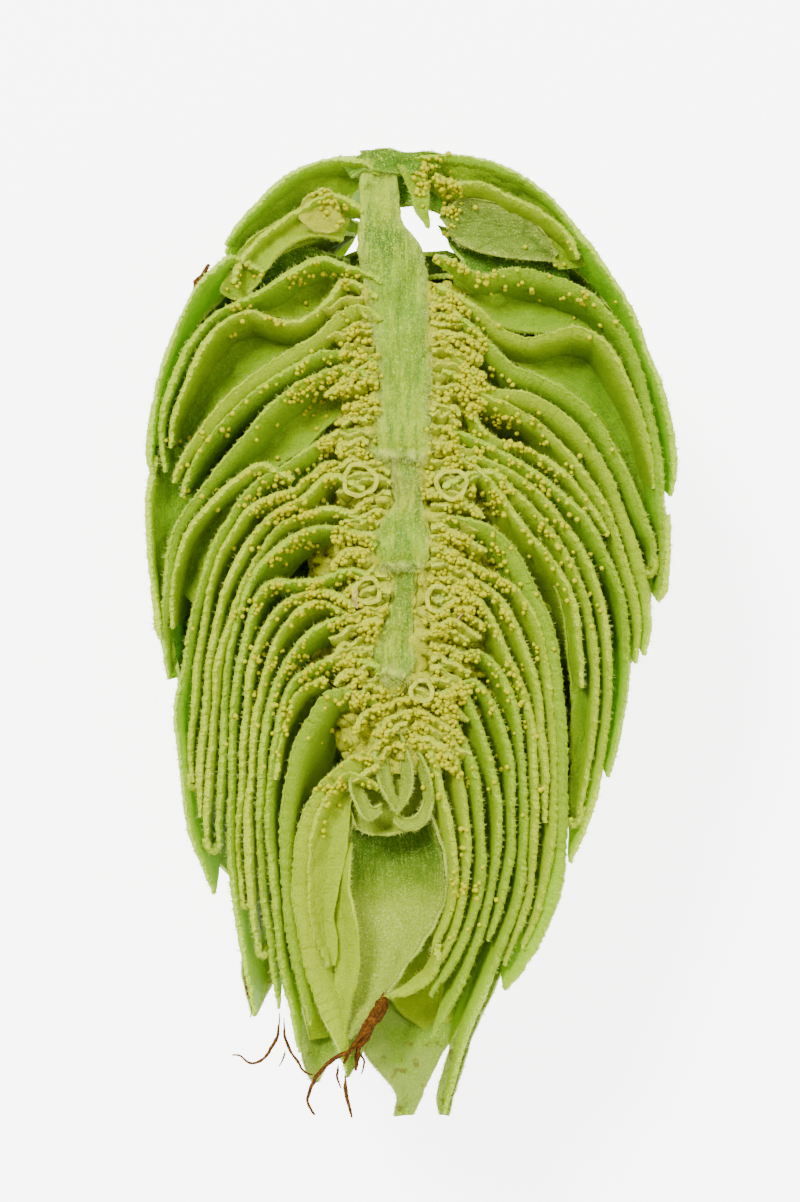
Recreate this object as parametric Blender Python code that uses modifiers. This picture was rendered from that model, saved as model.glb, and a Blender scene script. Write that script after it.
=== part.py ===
"""Halved hop cone: the strig, its nested bracts and bracteoles, perianth cups and dried styles.

The cone lies on its rounded back with the cut face up. +Y runs towards the stem end, +X to the
right across the cut, +Z up. Lengths below are in millimetres and are turned into metres once.
"""

import math

import bmesh
import bpy
from mathutils import Vector

MM = 0.001
CUT_HEIGHT = 9.25          # the cut face above the surface that the cone rests on
LEAF_THICKNESS = 0.15
BACK_LEAF_THICKNESS = 0.18
CUP_WALL = 0.14
RIM_MARGIN = 0.01          # a cup keeps the ring of points that lies on its rim
STRIG_AXIS_X = -0.5        # the stalk grew a little left of the middle
TIP_AXIS_X = -1.35         # and the tip of the cone leans further left
TIP_BEND_START = -4.0
TIP_BEND_LENGTH = 12.0
LEAF_BASE = 0.55           # share of its full width that a leaf has where it leaves the strig
LEAF_WIDEST = 0.5          # share of its length at which it has its full width
LEAF_NARROWS = 0.6         # and from which it narrows to its point
LEAF_TIP_ROUNDING = 0.8
OPEN_TIP = 0.05            # share of the full width left at a leaf's point, so that it stays a solid
SIDE_REACH = 46.0          # degrees that most cut leaves wrap behind the cut face
BACK_SWELL = 0.11          # the back is fullest here, a little below the middle
BACK_FILL = 0.955
BACK_SWELL_Y = -3.0
BACK_SWELL_LENGTH = 5.0

GREEN = (0.33, 0.45, 0.03)
PALE_GREEN = (0.50, 0.58, 0.08)
STRIG_GREEN = (0.36, 0.46, 0.04)
CUP_CREAM = (0.62, 0.62, 0.20)
DRIED_BROWN = (0.12, 0.045, 0.01)

# Cut leaves, outermost first: kind, reach in degrees, and the cut edge as (distance from the
# middle, height along the cone). Each edge runs from the base at the strig to the leaf's tip.
LEFT_LEAVES = [
    ("bract", 62, [(2.3, 17.6), (3.2, 17.55), (4.3, 17.1), (5.3, 16.4), (6.2, 15.4), (6.85, 14.4)]),
    ("bracteole", 58, [(3.0, 16.3), (4.2, 15.75), (5.2, 15.1), (6.0, 14.3), (6.45, 13.6), (6.6, 13.0)]),
    ("bract", 40, [(6.7, 14.0), (7.3, 13.55), (8.05, 12.65), (8.75, 11.2), (9.35, 9.5), (9.65, 7.8),
                   (9.72, 6.7), (9.5, 5.5)]),
    ("bract", 27, [(2.3, 13.6), (3.3, 13.95), (4.3, 13.5), (5.5, 12.75), (6.5, 12.3), (7.3, 11.85),
                   (8.05, 11.0), (8.6, 10.1), (9.0, 9.1), (9.25, 8.0), (9.3, 7.0), (9.1, 6.0)]),
    ("bracteole", 46, [(2.5, 13.1), (3.0, 12.4), (3.7, 11.8), (4.5, 11.57), (5.2, 11.75), (6.0, 12.0),
                       (6.9, 11.6), (7.6, 10.85), (8.15, 9.9), (8.55, 8.9), (8.87, 7.9), (8.92, 6.9)]),
    ("bracteole", 46, [(2.05, 12.2), (2.8, 11.8), (3.5, 11.15), (4.5, 10.55), (5.5, 9.85), (6.5, 9.1),
                       (7.3, 8.3), (8.0, 7.3), (8.55, 6.4), (8.8, 5.6)]),
    ("bract", 46, [(2.2, 10.45), (3.3, 10.45), (4.3, 9.95), (5.3, 9.4), (6.4, 8.55), (7.3, 7.6),
                   (8.0, 6.6), (8.4, 5.7), (8.55, 5.1)]),
    ("bract", 46, [(2.5, 9.9), (3.7, 9.55), (4.6, 9.0), (5.5, 8.2), (6.2, 7.35), (7.0, 6.35),
                   (7.8, 5.35), (8.5, 4.4), (8.95, 3.3), (9.15, 1.8), (9.2, 0.3), (9.0, -1.6)]),
    ("bracteole", 40, [(5.6, 6.3), (6.3, 5.85), (7.1, 5.25), (7.8, 4.5), (8.4, 3.6), (8.72, 2.6),
                       (8.85, 1.4), (8.85, 0.2)]),
    ("bract", 46, [(1.9, 7.6), (3.0, 7.4), (4.1, 6.75), (5.0, 6.1), (5.7, 5.7), (6.35, 5.0),
                   (6.9, 4.15), (7.4, 3.2), (7.8, 2.1), (8.1, 1.0), (8.25, 0), (8.45, -1.1),
                   (8.7, -2.2), (8.75, -3.2), (8.6, -4.4), (8.5, -5.6), (8.3, -6.8), (8.0, -7.9),
                   (7.65, -8.9), (7.3, -9.65)]),
    ("bracteole", 46, [(3.0, 6.45), (3.8, 5.9), (4.3, 5.4), (5.2, 5.1), (6.0, 4.7), (6.5, 4.0),
                       (7.0, 3.1), (7.35, 2.1), (7.65, 0.9), (7.85, -0.2), (8.0, -1.3), (8.12, -2.5),
                       (8.22, -3.6), (8.22, -4.6), (8.1, -5.5)]),
    ("bracteole", 46, [(3.0, 5.9), (4.0, 5.05), (5.0, 4.6), (5.7, 3.9), (6.3, 3.0), (6.9, 1.7),
                       (7.2, 0.7), (7.42, -0.3), (7.57, -1.3), (7.68, -2.4), (7.75, -3.5),
                       (7.82, -4.7), (7.87, -5.8), (7.85, -6.8)]),
    ("bracteole", 46, [(3.0, 4.7), (4.2, 4.4), (5.0, 3.95), (5.6, 3.2), (6.05, 2.3), (6.6, 1.0),
                       (6.98, -0.1), (7.2, -1.2), (7.32, -2.4), (7.4, -3.5), (7.46, -4.6),
                       (7.52, -5.7), (7.58, -6.8), (7.5, -7.8)]),
    ("bract", 27, [(2.5, 3.9), (3.5, 3.95), (4.5, 3.5), (5.3, 2.85), (5.9, 2.1), (6.3, 1.1),
                   (6.62, 0), (6.85, -1.2), (6.97, -2.4), (7.02, -3.6), (7.05, -4.8), (7.12, -6),
                   (7.17, -7), (7.08, -8)]),
    ("bract", 84, [(2.3, 2.45), (3.4, 2.05), (4.3, 1.95), (5.1, 2.0), (5.65, 1.5), (5.98, 0.6),
                   (6.24, -0.4), (6.45, -1.5), (6.6, -2.7), (6.67, -4), (6.73, -5.4), (6.78, -6.8),
                   (6.75, -8.2), (6.6, -9.6), (6.38, -11), (6.1, -12.4), (5.85, -14.2)]),
    ("bracteole", 38, [(3.3, 1.65), (4.2, 1.5), (4.9, 1.05), (5.4, 0.3), (5.75, -0.5), (5.98, -1.4),
                       (6.15, -2.6), (6.25, -4), (6.33, -5.2), (6.4, -6.4), (6.43, -7.6),
                       (6.38, -8.8), (6.25, -9.9)]),
    ("bracteole", 38, [(3.4, 1.2), (4.05, 0.95), (4.65, 0.3), (5.1, -0.4), (5.42, -1.3), (5.65, -2.3),
                       (5.82, -3.4), (5.93, -4.6), (6.02, -5.8), (6.08, -7), (6.05, -8.2),
                       (5.95, -9.4), (5.85, -10.6), (5.65, -11.7)]),
    ("bract", 38, [(2.4, 0.65), (3.2, 0.4), (4.0, -0.15), (4.6, -0.85), (5.0, -1.7), (5.28, -2.7),
                   (5.45, -3.8), (5.58, -5), (5.67, -6.2), (5.68, -7.4), (5.6, -8.6), (5.5, -9.8),
                   (5.35, -11), (5.15, -12.4), (4.9, -13.9)]),
    ("bract", 38, [(1.9, -0.95), (2.9, -0.9), (3.8, -1.25), (4.45, -1.85), (4.85, -2.7),
                   (5.07, -3.8), (5.22, -5), (5.3, -6.2), (5.3, -7.4), (5.22, -8.6), (5.12, -9.8),
                   (5.0, -11), (4.8, -12.4), (4.45, -14), (4.15, -15.5)]),
    ("bract", 38, [(2.3, -2.0), (3.1, -2.15), (3.75, -2.95), (4.25, -3.9), (4.6, -5), (4.82, -6.3),
                   (4.88, -8), (4.78, -9.6), (4.62, -11), (4.35, -12.4), (4.0, -13.7), (3.75, -14.5)]),
    ("bracteole", 34, [(1.9, -4.45), (2.6, -4.85), (3.4, -5.5), (3.95, -6.5), (4.25, -7.7),
                       (4.35, -9.2), (4.25, -10.8), (3.95, -12.4), (3.4, -13.9), (2.85, -15.1),
                       (2.4, -16.2)]),
    ("bracteole", 30, [(2.4, -5.1), (3.1, -5.9), (3.55, -7.0), (3.75, -8.2), (3.8, -9.4),
                       (3.72, -10.5), (3.5, -11.5), (3.1, -12.3)]),
]
RIGHT_LEAVES = [
    ("bract", 46, [(-0.25, 17.6), (1.4, 17.8), (3.0, 17.5), (4.3, 16.9), (5.4, 16.0), (6.2, 14.95),
                   (7.0, 13.8), (7.8, 12.7), (8.4, 11.5), (8.9, 10.2), (9.3, 9), (9.6, 7.9),
                   (9.75, 6.7), (9.75, 5.9), (9.65, 5.1)]),
    ("bracteole", 58, [(0.9, 17.05), (1.7, 16.75), (2.6, 16.75), (3.6, 16.3), (4.4, 15.9),
                       (5.3, 15.3), (5.9, 14.65), (6.2, 13.9)]),
    ("bract", 25, [(0.9, 14.05), (1.6, 13.8), (2.6, 13.35), (3.6, 13.55), (4.8, 13.4), (6.0, 13.0),
                   (6.9, 12.4), (7.7, 11.5), (8.25, 10.5), (8.7, 9.3), (9.05, 7.8), (9.3, 6.4),
                   (9.4, 4.8), (9.42, 3.8), (9.4, 2.6), (9.25, 1.3)]),
    ("bracteole", 46, [(1.0, 12.95), (1.8, 12.55), (2.7, 11.9), (3.4, 11.3), (4.3, 10.98),
                       (5.1, 11.15), (6.0, 11.4), (6.9, 11.1), (7.55, 10.4), (8.05, 9.5),
                       (8.45, 8.5), (8.75, 7.4), (8.95, 6.3), (9.05, 5.4)]),
    ("bract", 46, [(1.05, 11.9), (1.9, 11.7), (2.7, 11.05), (3.4, 10.35), (4.0, 9.85), (4.9, 9.5),
                   (5.8, 8.95), (6.7, 8.2), (7.4, 7.25), (8.0, 6.15), (8.4, 5.1), (8.75, 4.1),
                   (9.05, 3.2), (8.95, 2.5)]),
    ("bracteole", 27, [(1.2, 11.2), (1.6, 10.55), (2.3, 9.8), (3.1, 9.15), (4.2, 9.0), (5.2, 8.5),
                       (6.1, 7.8), (6.8, 6.9), (7.4, 5.85), (7.9, 4.75), (8.3, 3.65), (8.6, 2.5),
                       (8.82, 1.3), (8.85, 0.2), (8.65, -0.8)]),
    ("bracteole", 46, [(1.2, 9.85), (1.9, 9.55), (2.7, 8.9), (3.7, 8.55), (4.5, 8.05), (5.3, 7.35),
                       (6.1, 6.5), (6.8, 5.5), (7.3, 4.6), (7.78, 3.5), (8.12, 2.4), (8.38, 1.2),
                       (8.45, 0.0), (8.35, -1.1)]),
    ("bract", 46, [(1.05, 7.75), (2.2, 7.35), (3.2, 6.85), (4.2, 6.3), (5.0, 5.7), (5.9, 4.9),
                   (6.6, 4.1), (7.1, 3.3), (7.55, 2.4), (7.9, 1.4), (8.1, 0.3), (8.12, -0.8),
                   (8.05, -2.0), (7.87, -3.2), (7.62, -4.3), (7.3, -5.3)]),
    ("bracteole", 46, [(2.4, 6.6), (3.4, 6.25), (4.4, 5.55), (5.1, 4.9), (5.8, 4.05), (6.4, 3.1),
                       (6.8, 2.1), (7.1, 1.0), (7.3, -0.1), (7.38, -1.3), (7.35, -2.6), (7.22, -4),
                       (7.02, -5.3), (6.78, -6.4), (6.5, -7.3), (5.95, -8.5)]),
    ("bracteole", 46, [(3.0, 6.0), (3.8, 5.3), (4.6, 4.55), (5.3, 3.7), (5.9, 2.75), (6.4, 1.7),
                       (6.73, 0.5), (6.93, -0.7), (6.98, -2), (6.9, -3.3), (6.72, -4.6),
                       (6.5, -5.8), (6.25, -6.7)]),
    ("bracteole", 44, [(2.45, 6.05), (2.9, 5.75), (3.35, 5.15), (3.85, 4.4), (4.4, 3.7), (5.1, 2.95),
                       (5.7, 2.1), (6.05, 1.2), (6.22, 0.2), (6.28, -0.9), (6.3, -2.0)]),
    ("bract", 84, [(1.0, 4.3), (1.9, 4.35), (2.9, 4.0), (3.7, 3.3), (4.25, 2.45), (4.75, 1.5),
                   (5.15, 0.6), (5.4, -0.3), (5.57, -1.4), (5.7, -2.8), (5.77, -4.4), (5.8, -6),
                   (5.77, -7.4), (5.65, -8.8), (5.35, -10.1), (4.9, -11.2), (4.2, -12.4), (3.5, -13.2)]),
    ("bracteole", 38, [(0.95, 3.2), (1.9, 2.75), (2.9, 2.35), (3.75, 1.85), (4.3, 1.15), (4.7, 0.3),
                       (4.98, -0.7), (5.17, -1.9), (5.3, -3.2), (5.37, -4.8), (5.37, -6.4),
                       (5.25, -8), (5.02, -9.4), (4.7, -10.6), (4.2, -11.7)]),
    ("bracteole", 38, [(2.3, 2.0), (3.0, 1.65), (3.6, 0.9), (4.0, 0.1), (4.35, -0.8), (4.63, -1.8),
                       (4.83, -2.9), (4.97, -4.2), (5.02, -5.6), (5.0, -7)]),
    ("bracteole", 38, [(2.1, 1.45), (2.65, 1.1), (3.1, 0.3), (3.5, -0.55), (3.92, -1.3),
                       (4.25, -2.2), (4.48, -3.3), (4.62, -4.6), (4.68, -6), (4.66, -7.4),
                       (4.55, -8.8), (4.35, -10), (3.95, -11.2), (3.45, -12.3)]),
    ("bract", 38, [(2.4, -0.6), (3.1, -1.05), (3.65, -1.95), (3.97, -3), (4.15, -4.4), (4.25, -5.8),
                   (4.27, -7.2), (4.2, -8.4), (4.05, -9.6), (3.75, -10.8), (3.3, -12), (2.75, -13.3),
                   (2.15, -14.8), (1.65, -16.3), (1.3, -17.8)]),
    ("bract", 38, [(2.3, -1.7), (2.9, -2.3), (3.35, -3.2), (3.65, -4.4), (3.8, -5.6), (3.82, -6.8),
                   (3.77, -8), (3.6, -9.2), (3.3, -10.4), (2.9, -11.4)]),
    ("bract", 38, [(1.9, -2.1), (2.35, -2.8), (2.72, -3.8), (3.0, -4.8), (3.22, -5.8), (3.3, -6.9),
                   (3.25, -8), (3.1, -9.2), (2.8, -10.5), (2.4, -11.8), (1.9, -13), (1.35, -14),
                   (0.8, -15.0)]),
    ("bract", 36, [(1.6, -3.0), (2.0, -3.8), (2.33, -4.8), (2.55, -6), (2.68, -7.4), (2.68, -8.8),
                   (2.5, -10), (2.1, -11.2), (1.5, -12.4), (0.7, -13.4)]),
    ("bracteole", 34, [(1.3, -3.5), (1.65, -4.4), (1.9, -5.4), (2.08, -6.6), (2.17, -8), (2.07, -9.4),
                       (1.8, -10.6), (1.35, -11.7), (0.7, -12.7)]),
    ("bracteole", 30, [(0.65, -4.1), (1.0, -5), (1.3, -6.2), (1.5, -7.4), (1.65, -8.6), (1.62, -9.8),
                       (1.3, -10.9), (0.75, -11.8)]),
]
# Whole leaves round the back: name, middle direction and half width in degrees, edge line.
BACK_LEAVES = [
    ("back_bract_middle_top", 90, 42, [(2.4, 14.35), (3.6, 14.4), (5.0, 14.1), (6.2, 13.45), (7.4, 12.4),
                                       (8.4, 11.0), (9.1, 9.5), (9.5, 8.0), (9.68, 6.4), (9.6, 4.8),
                                       (9.45, 3.6)]),
    ("back_bract_right", 59, 29, [(2.2, 13.4), (3.6, 13.45), (4.8, 13.2), (6.0, 12.75), (6.9, 12.1),
                                  (7.7, 11.2), (8.25, 10.3), (8.7, 9.2), (9.0, 7.8), (9.15, 6.4),
                                  (9.2, 5.0), (9.2, 3.6), (9.2, 2.4), (9.2, 1.4)]),
    ("back_bract_left", 121, 29, [(2.6, 13.3), (3.6, 13.4), (4.8, 12.95), (6.0, 12.35), (7.1, 11.75),
                                  (7.9, 10.9), (8.4, 9.9), (8.8, 8.9), (9.05, 7.6), (9.15, 6.2),
                                  (9.2, 4.8), (9.2, 3.4), (9.2, 2.2), (9.2, 1.1)]),
    ("back_bract_middle_low", 90, 42, [(2.2, 11.4), (3.4, 11.4), (5.0, 10.9), (6.6, 9.9), (7.7, 8.5),
                                       (8.35, 6.9), (8.7, 5.0), (8.85, 3.0), (8.9, 1.0), (8.85, -1.0),
                                       (8.55, -3.0), (8.1, -4.8), (7.6, -6.4)]),
    ("back_bract_tip", 90, 42, [(2.0, 6.4), (3.2, 6.1), (4.8, 5.2), (6.2, 3.8), (7.0, 2.1), (7.5, 0.2),
                                (7.75, -2), (7.7, -4), (7.4, -6), (6.95, -8), (6.5, -9.6),
                                (6.15, -10.9)]),
]
# The pointed leaf round the growing tip: a trough open to the cut face.
CENTRE_LEAF = [(1.75, -6.6), (1.95, -7.8), (2.0, -9), (1.85, -10.2), (1.6, -11.4), (1.25, -12.6),
               (0.85, -13.8), (0.4, -14.9)]
CENTRE_LEAF_HALF_WIDTH = 80

# Leaves whose points show beyond the cut edges: left edge, right edge, depth below the cut face.
TIP_LEAVES = [
    ("tip_bract_right", [(-12.4, -0.6, 1.5, 3.3), (-13.6, -1.1, 1.6, 2.6), (-14.8, -1.6, 1.3, 1.9),
                         (-15.8, -1.7, 1.0, 1.5), (-16.8, -0.95, 0.5, 1.2), (-17.4, -0.5, 0.3, 1.1),
                         (-18.0, -0.5, 0.15, 1.0)]),
    ("tip_bract_left", [(-12.4, -3.5, -1.7, 3.2), (-13.6, -3.9, -1.9, 2.6), (-14.6, -4.1, -2.2, 2.0),
                        (-15.5, -4.05, -2.7, 1.6), (-16.2, -3.85, -3.2, 1.3), (-16.8, -3.6, -3.45, 1.1)]),
]
TIP_LEAF_FOLD = 0.45

# The strig's cut face: height along the cone, left edge and right edge.
STRIG_EDGES = [
    (17.95, -1.95, -0.85), (17.5, -1.8, -0.62), (16.6, -1.88, -0.42), (15.6, -1.93, -0.38), (15.0, -1.97, -0.1),
    (14.3, -2.02, 0.45), (13.6, -1.85, 0.6), (12.0, -1.6, 0.65), (10.2, -1.3, 0.8), (8.6, -1.25, 0.75),
    (7.2, -1.3, 0.7), (6.4, -0.85, 0.4), (5.4, -0.7, 0.45), (4.6, -0.75, 0.5), (3.9, -1.3, 0.65),
    (3.2, -1.4, 0.6), (2.5, -0.95, 0.4), (1.5, -0.8, 0.2), (0.5, -0.95, 0.1), (-0.2, -1.4, 0.1),
    (-1.0, -1.5, 0.2), (-1.7, -1.2, 0.0), (-2.3, -0.9, -0.4),
]
STRIG_ROUND_STEPS = 7
STRIG_DEPTH = 0.74         # depth behind the cut face as a share of the width

# Perianth cups cut open beside the strig: name, middle and radius.
CUPS = [
    ("perianth_left_upper", (-1.9, 5.7), 0.7),
    ("perianth_left_lower", (-1.62, 1.6), 0.58),
    ("perianth_right_upper", (1.5, 5.55), 0.65),
    ("perianth_right_lower", (1.05, 1.3), 0.58),
    ("perianth_tip", (0.4, -2.1), 0.5),
]

# Dried styles at the tip: name, radius, and points (x, y, depth below the cut face).
STYLES = [
    ("dried_style_stout", 0.15, [(-1.15, -13.85, -0.2), (-1.5, -14.5, -0.2), (-1.85, -15.15, -0.2),
                                 (-2.4, -15.55, -0.2), (-3.0, -15.85, -0.1), (-3.45, -16.35, 0.2),
                                 (-3.75, -17.0, 0.5), (-3.85, -17.5, 0.7), (-3.6, -17.95, 0.9)]),
    ("dried_style_short", 0.09, [(-2.5, -16.55, 0.4), (-2.42, -17.1, 0.45), (-2.32, -17.6, 0.5),
                                 (-2.2, -18.0, 0.55)]),
    ("dried_style_left", 0.08, [(-4.9, -14.5, 0.5), (-5.0, -15.1, 0.5), (-5.3, -15.6, 0.55),
                                (-5.7, -15.95, 0.6), (-6.1, -15.95, 0.6), (-6.45, -15.65, 0.6)]),
]

LONG_LEAF_LENGTH_STEPS = 9
SHORT_LEAF_LENGTH_STEPS = 7
SHORT_LEAF_POINTS = 11       # an edge with fewer points belongs to a short leaf
LEAF_WIDTH_STEPS = 3
WIDE_LEAF_WIDTH_STEPS = 5
BACK_LEAF_WIDTH_STEPS = 6
TIP_LEAF_WIDTH_STEPS = 4     # even, so that the fold falls on an edge


def clear_scene():
    for old in list(bpy.data.objects):
        bpy.data.objects.remove(old, do_unlink=True)


def material(name, colour, roughness):
    made = bpy.data.materials.new(name)
    made.use_nodes = True
    shader = made.node_tree.nodes["Principled BSDF"]
    shader.inputs["Base Color"].default_value = (*colour, 1.0)
    shader.inputs["Roughness"].default_value = roughness
    shader.inputs["Metallic"].default_value = 0.0
    return made


def smooth(t):
    t = min(max(t, 0.0), 1.0)
    return t * t * (3 - 2 * t)


def along(points, t):
    """The point at share t of a smooth curve through points, spaced by the root of their distance."""
    points = [Vector(p) for p in points]
    knots = [0.0]
    for a, b in zip(points, points[1:]):
        knots.append(knots[-1] + (b - a).length ** 0.5)
    knots = [knots[0] - (knots[1] - knots[0])] + knots + [2 * knots[-1] - knots[-2]]
    points = [2 * points[0] - points[1]] + points + [2 * points[-1] - points[-2]]
    q = t * knots[-2]
    i = 1
    while i < len(knots) - 3 and knots[i + 1] < q:
        i += 1
    k = knots[i - 1:i + 3]
    p = points[i - 1:i + 3]

    def mix(a, b, start, end):
        return a + (b - a) * ((q - start) / (end - start))

    first = [mix(p[j], p[j + 1], k[j], k[j + 1]) for j in range(3)]
    second = [mix(first[j], first[j + 1], k[j], k[j + 2]) for j in range(2)]
    return mix(second[0], second[1], k[1], k[2])


def bend(y):
    return smooth((TIP_BEND_START - y) / TIP_BEND_LENGTH)


def wrapped(x, y, turn):
    """Carries a point of the cut face round the cone's axis by turn degrees, down behind the face."""
    lean = bend(y)
    axis = STRIG_AXIS_X + (TIP_AXIS_X - STRIG_AXIS_X) * lean
    out = abs(x - axis)
    side = 1 if x > axis else -1
    shift = abs(STRIG_AXIS_X) * (1 - lean) * (1 - math.exp(-out / 3))
    deep = out - side * shift
    fill = BACK_FILL + BACK_SWELL * math.exp(-((y - BACK_SWELL_Y) / BACK_SWELL_LENGTH) ** 2)
    angle = math.radians(turn)
    return Vector((axis + side * out * math.cos(angle), y, CUT_HEIGHT - deep * fill * math.sin(angle)))


def leaf_width(s):
    """Share of a leaf's full width at share s of its length: a stalked base and a pointed tip."""
    base = LEAF_BASE + (1 - LEAF_BASE) * math.sin(math.pi / 2 * min(s / LEAF_WIDEST, 1.0))
    narrowing = max(s - LEAF_NARROWS, 0.0) / (1 - LEAF_NARROWS)
    tip = math.cos(math.pi / 2 * min(narrowing, 1.0)) ** LEAF_TIP_ROUNDING
    return max(base * tip, OPEN_TIP)


def leaf_object(name, collection, finish, place, thickness, along_steps, across):
    """A leaf: a grid laid on place(s, v), thickened evenly to both sides."""
    mesh = bpy.data.meshes.new(name)
    work = bmesh.new()
    bmesh.ops.create_grid(work, x_segments=along_steps, y_segments=across, size=0.5)
    for vert in work.verts:
        vert.co = place(vert.co.x + 0.5, vert.co.y + 0.5) * MM
    work.to_mesh(mesh)
    work.free()
    mesh.materials.append(finish)
    leaf = bpy.data.objects.new(name, mesh)
    collection.objects.link(leaf)
    solid = leaf.modifiers.new("thickness", "SOLIDIFY")
    solid.thickness = thickness * MM
    solid.offset = 0.0
    return leaf


def flatten_underside(leaf):
    """Presses what would reach below the resting surface flat against it."""
    bpy.context.view_layer.update()
    pressed = bpy.data.meshes.new_from_object(leaf.evaluated_get(bpy.context.evaluated_depsgraph_get()))
    for vert in pressed.vertices:
        vert.co.z = max(vert.co.z, 0.0)
    leaf.modifiers.clear()
    leaf.data = pressed


def cut_leaves(collection, finishes):
    for side, sign, leaves in (("left", -1, LEFT_LEAVES), ("right", 1, RIGHT_LEAVES)):
        counts = {"bract": 0, "bracteole": 0}
        for kind, reach, edge in leaves:
            counts[kind] += 1

            def place(s, v, sign=sign, reach=reach, edge=edge):
                point = along(edge, s)
                return wrapped(sign * point.x, point.y, v * reach * leaf_width(s))

            wide = reach > SIDE_REACH
            across = WIDE_LEAF_WIDTH_STEPS if wide else LEAF_WIDTH_STEPS
            short = len(edge) < SHORT_LEAF_POINTS
            along_steps = SHORT_LEAF_LENGTH_STEPS if short else LONG_LEAF_LENGTH_STEPS
            leaf_object(f"{kind}_{side}_{counts[kind]:02d}", collection, finishes[kind], place,
                        LEAF_THICKNESS, along_steps, across)


def back_leaves(collection, finish):
    for name, middle, half, edge in BACK_LEAVES:

        def place(s, v, middle=middle, half=half, edge=edge):
            point = along(edge, s)
            turn = middle + (2 * v - 1) * half * leaf_width(s)
            side = 1 if turn < 90 else -1
            middle_x = TIP_AXIS_X * bend(point.y)
            return wrapped(middle_x + side * point.x, point.y, min(turn, 180 - turn))

        leaf = leaf_object(name, collection, finish, place, BACK_LEAF_THICKNESS,
                           LONG_LEAF_LENGTH_STEPS, BACK_LEAF_WIDTH_STEPS)
        flatten_underside(leaf)


def centre_leaf(collection, finish):

    def place(s, v):
        point = along(CENTRE_LEAF, s)
        lean = bend(point.y)
        axis = STRIG_AXIS_X + (TIP_AXIS_X - STRIG_AXIS_X) * lean
        angle = math.radians(90 + (2 * v - 1) * CENTRE_LEAF_HALF_WIDTH)
        return Vector((axis - point.x * math.cos(angle), point.y,
                       CUT_HEIGHT - point.x * math.sin(angle)))

    leaf_object("centre_bract", collection, finish, place, LEAF_THICKNESS,
                LONG_LEAF_LENGTH_STEPS, BACK_LEAF_WIDTH_STEPS)


def tip_leaves(collection, finish):
    for name, stations in TIP_LEAVES:

        def place(s, v, stations=stations):
            left = along([(station[0], station[1], station[3]) for station in stations], s)
            right = along([(station[0], station[2], station[3]) for station in stations], s)
            width = right.y - left.y
            fold = TIP_LEAF_FOLD * width * (1 - abs(2 * v - 1)) / 2
            return Vector((left.y + width * v, left.x, CUT_HEIGHT - left.z - fold))

        leaf_object(name, collection, finish, place, LEAF_THICKNESS, SHORT_LEAF_LENGTH_STEPS,
                    TIP_LEAF_WIDTH_STEPS)


def strig(collection, finish):
    """The stalk: half-round sections under a flat cut face, lofted from node to node."""
    work = bmesh.new()
    rings = []
    for y, left, right in STRIG_EDGES:
        middle = (left + right) / 2
        half = (right - left) / 2
        ring = []
        for step in range(STRIG_ROUND_STEPS + 1):
            angle = math.pi * step / STRIG_ROUND_STEPS
            place = Vector((middle + half * math.cos(angle), y,
                            CUT_HEIGHT - 2 * half * STRIG_DEPTH * math.sin(angle)))
            ring.append(work.verts.new(place * MM))
        rings.append(ring)
    count = STRIG_ROUND_STEPS + 1
    for ring, following in zip(rings, rings[1:]):
        for i in range(count):
            j = (i + 1) % count
            work.faces.new((ring[i], ring[j], following[j], following[i]))
    work.faces.new(rings[0])
    work.faces.new(rings[-1])
    bmesh.ops.recalc_face_normals(work, faces=work.faces)
    mesh = bpy.data.meshes.new("strig")
    work.to_mesh(mesh)
    work.free()
    mesh.materials.append(finish)
    collection.objects.link(bpy.data.objects.new("strig", mesh))


def perianth_cups(collection, finish):
    """Half-open cups: the lower half of a sphere with a thin wall."""
    for name, (x, y), radius in CUPS:
        work = bmesh.new()
        bmesh.ops.create_uvsphere(work, u_segments=10, v_segments=6, radius=radius * MM)
        above_rim = [vert for vert in work.verts if vert.co.z > RIM_MARGIN * MM]
        bmesh.ops.delete(work, geom=above_rim, context="VERTS")
        bmesh.ops.translate(work, verts=work.verts, vec=Vector((x, y, CUT_HEIGHT)) * MM)
        mesh = bpy.data.meshes.new(name)
        work.to_mesh(mesh)
        work.free()
        mesh.materials.append(finish)
        cup = bpy.data.objects.new(name, mesh)
        collection.objects.link(cup)
        wall = cup.modifiers.new("wall", "SOLIDIFY")
        wall.thickness = CUP_WALL * MM
        wall.offset = -1.0


def dried_styles(collection, finish):
    for name, radius, points in STYLES:
        curve = bpy.data.curves.new(name, "CURVE")
        curve.dimensions = "3D"
        curve.bevel_depth = radius * MM
        curve.bevel_resolution = 1
        curve.use_fill_caps = True
        line = curve.splines.new("POLY")
        line.points.add(len(points) - 1)
        for point, (x, y, depth) in zip(line.points, points):
            point.co = (x * MM, y * MM, (CUT_HEIGHT - depth) * MM, 1.0)
        curve.materials.append(finish)
        collection.objects.link(bpy.data.objects.new(name, curve))


def build():
    clear_scene()
    collection = bpy.data.collections.new("halved_hop_cone")
    bpy.context.scene.collection.children.link(collection)
    finishes = {
        "bract": material("bract_green", GREEN, 0.5),
        "bracteole": material("bracteole_pale_green", PALE_GREEN, 0.5),
    }
    strig(collection, material("strig_green", STRIG_GREEN, 0.5))
    cut_leaves(collection, finishes)
    back_leaves(collection, finishes["bract"])
    centre_leaf(collection, finishes["bracteole"])
    tip_leaves(collection, finishes["bract"])
    perianth_cups(collection, material("perianth_cream", CUP_CREAM, 0.45))
    dried_styles(collection, material("dried_brown", DRIED_BROWN, 0.8))


build()
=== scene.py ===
import math
import random

import bpy
import numpy as np
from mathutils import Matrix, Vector, noise


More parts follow.
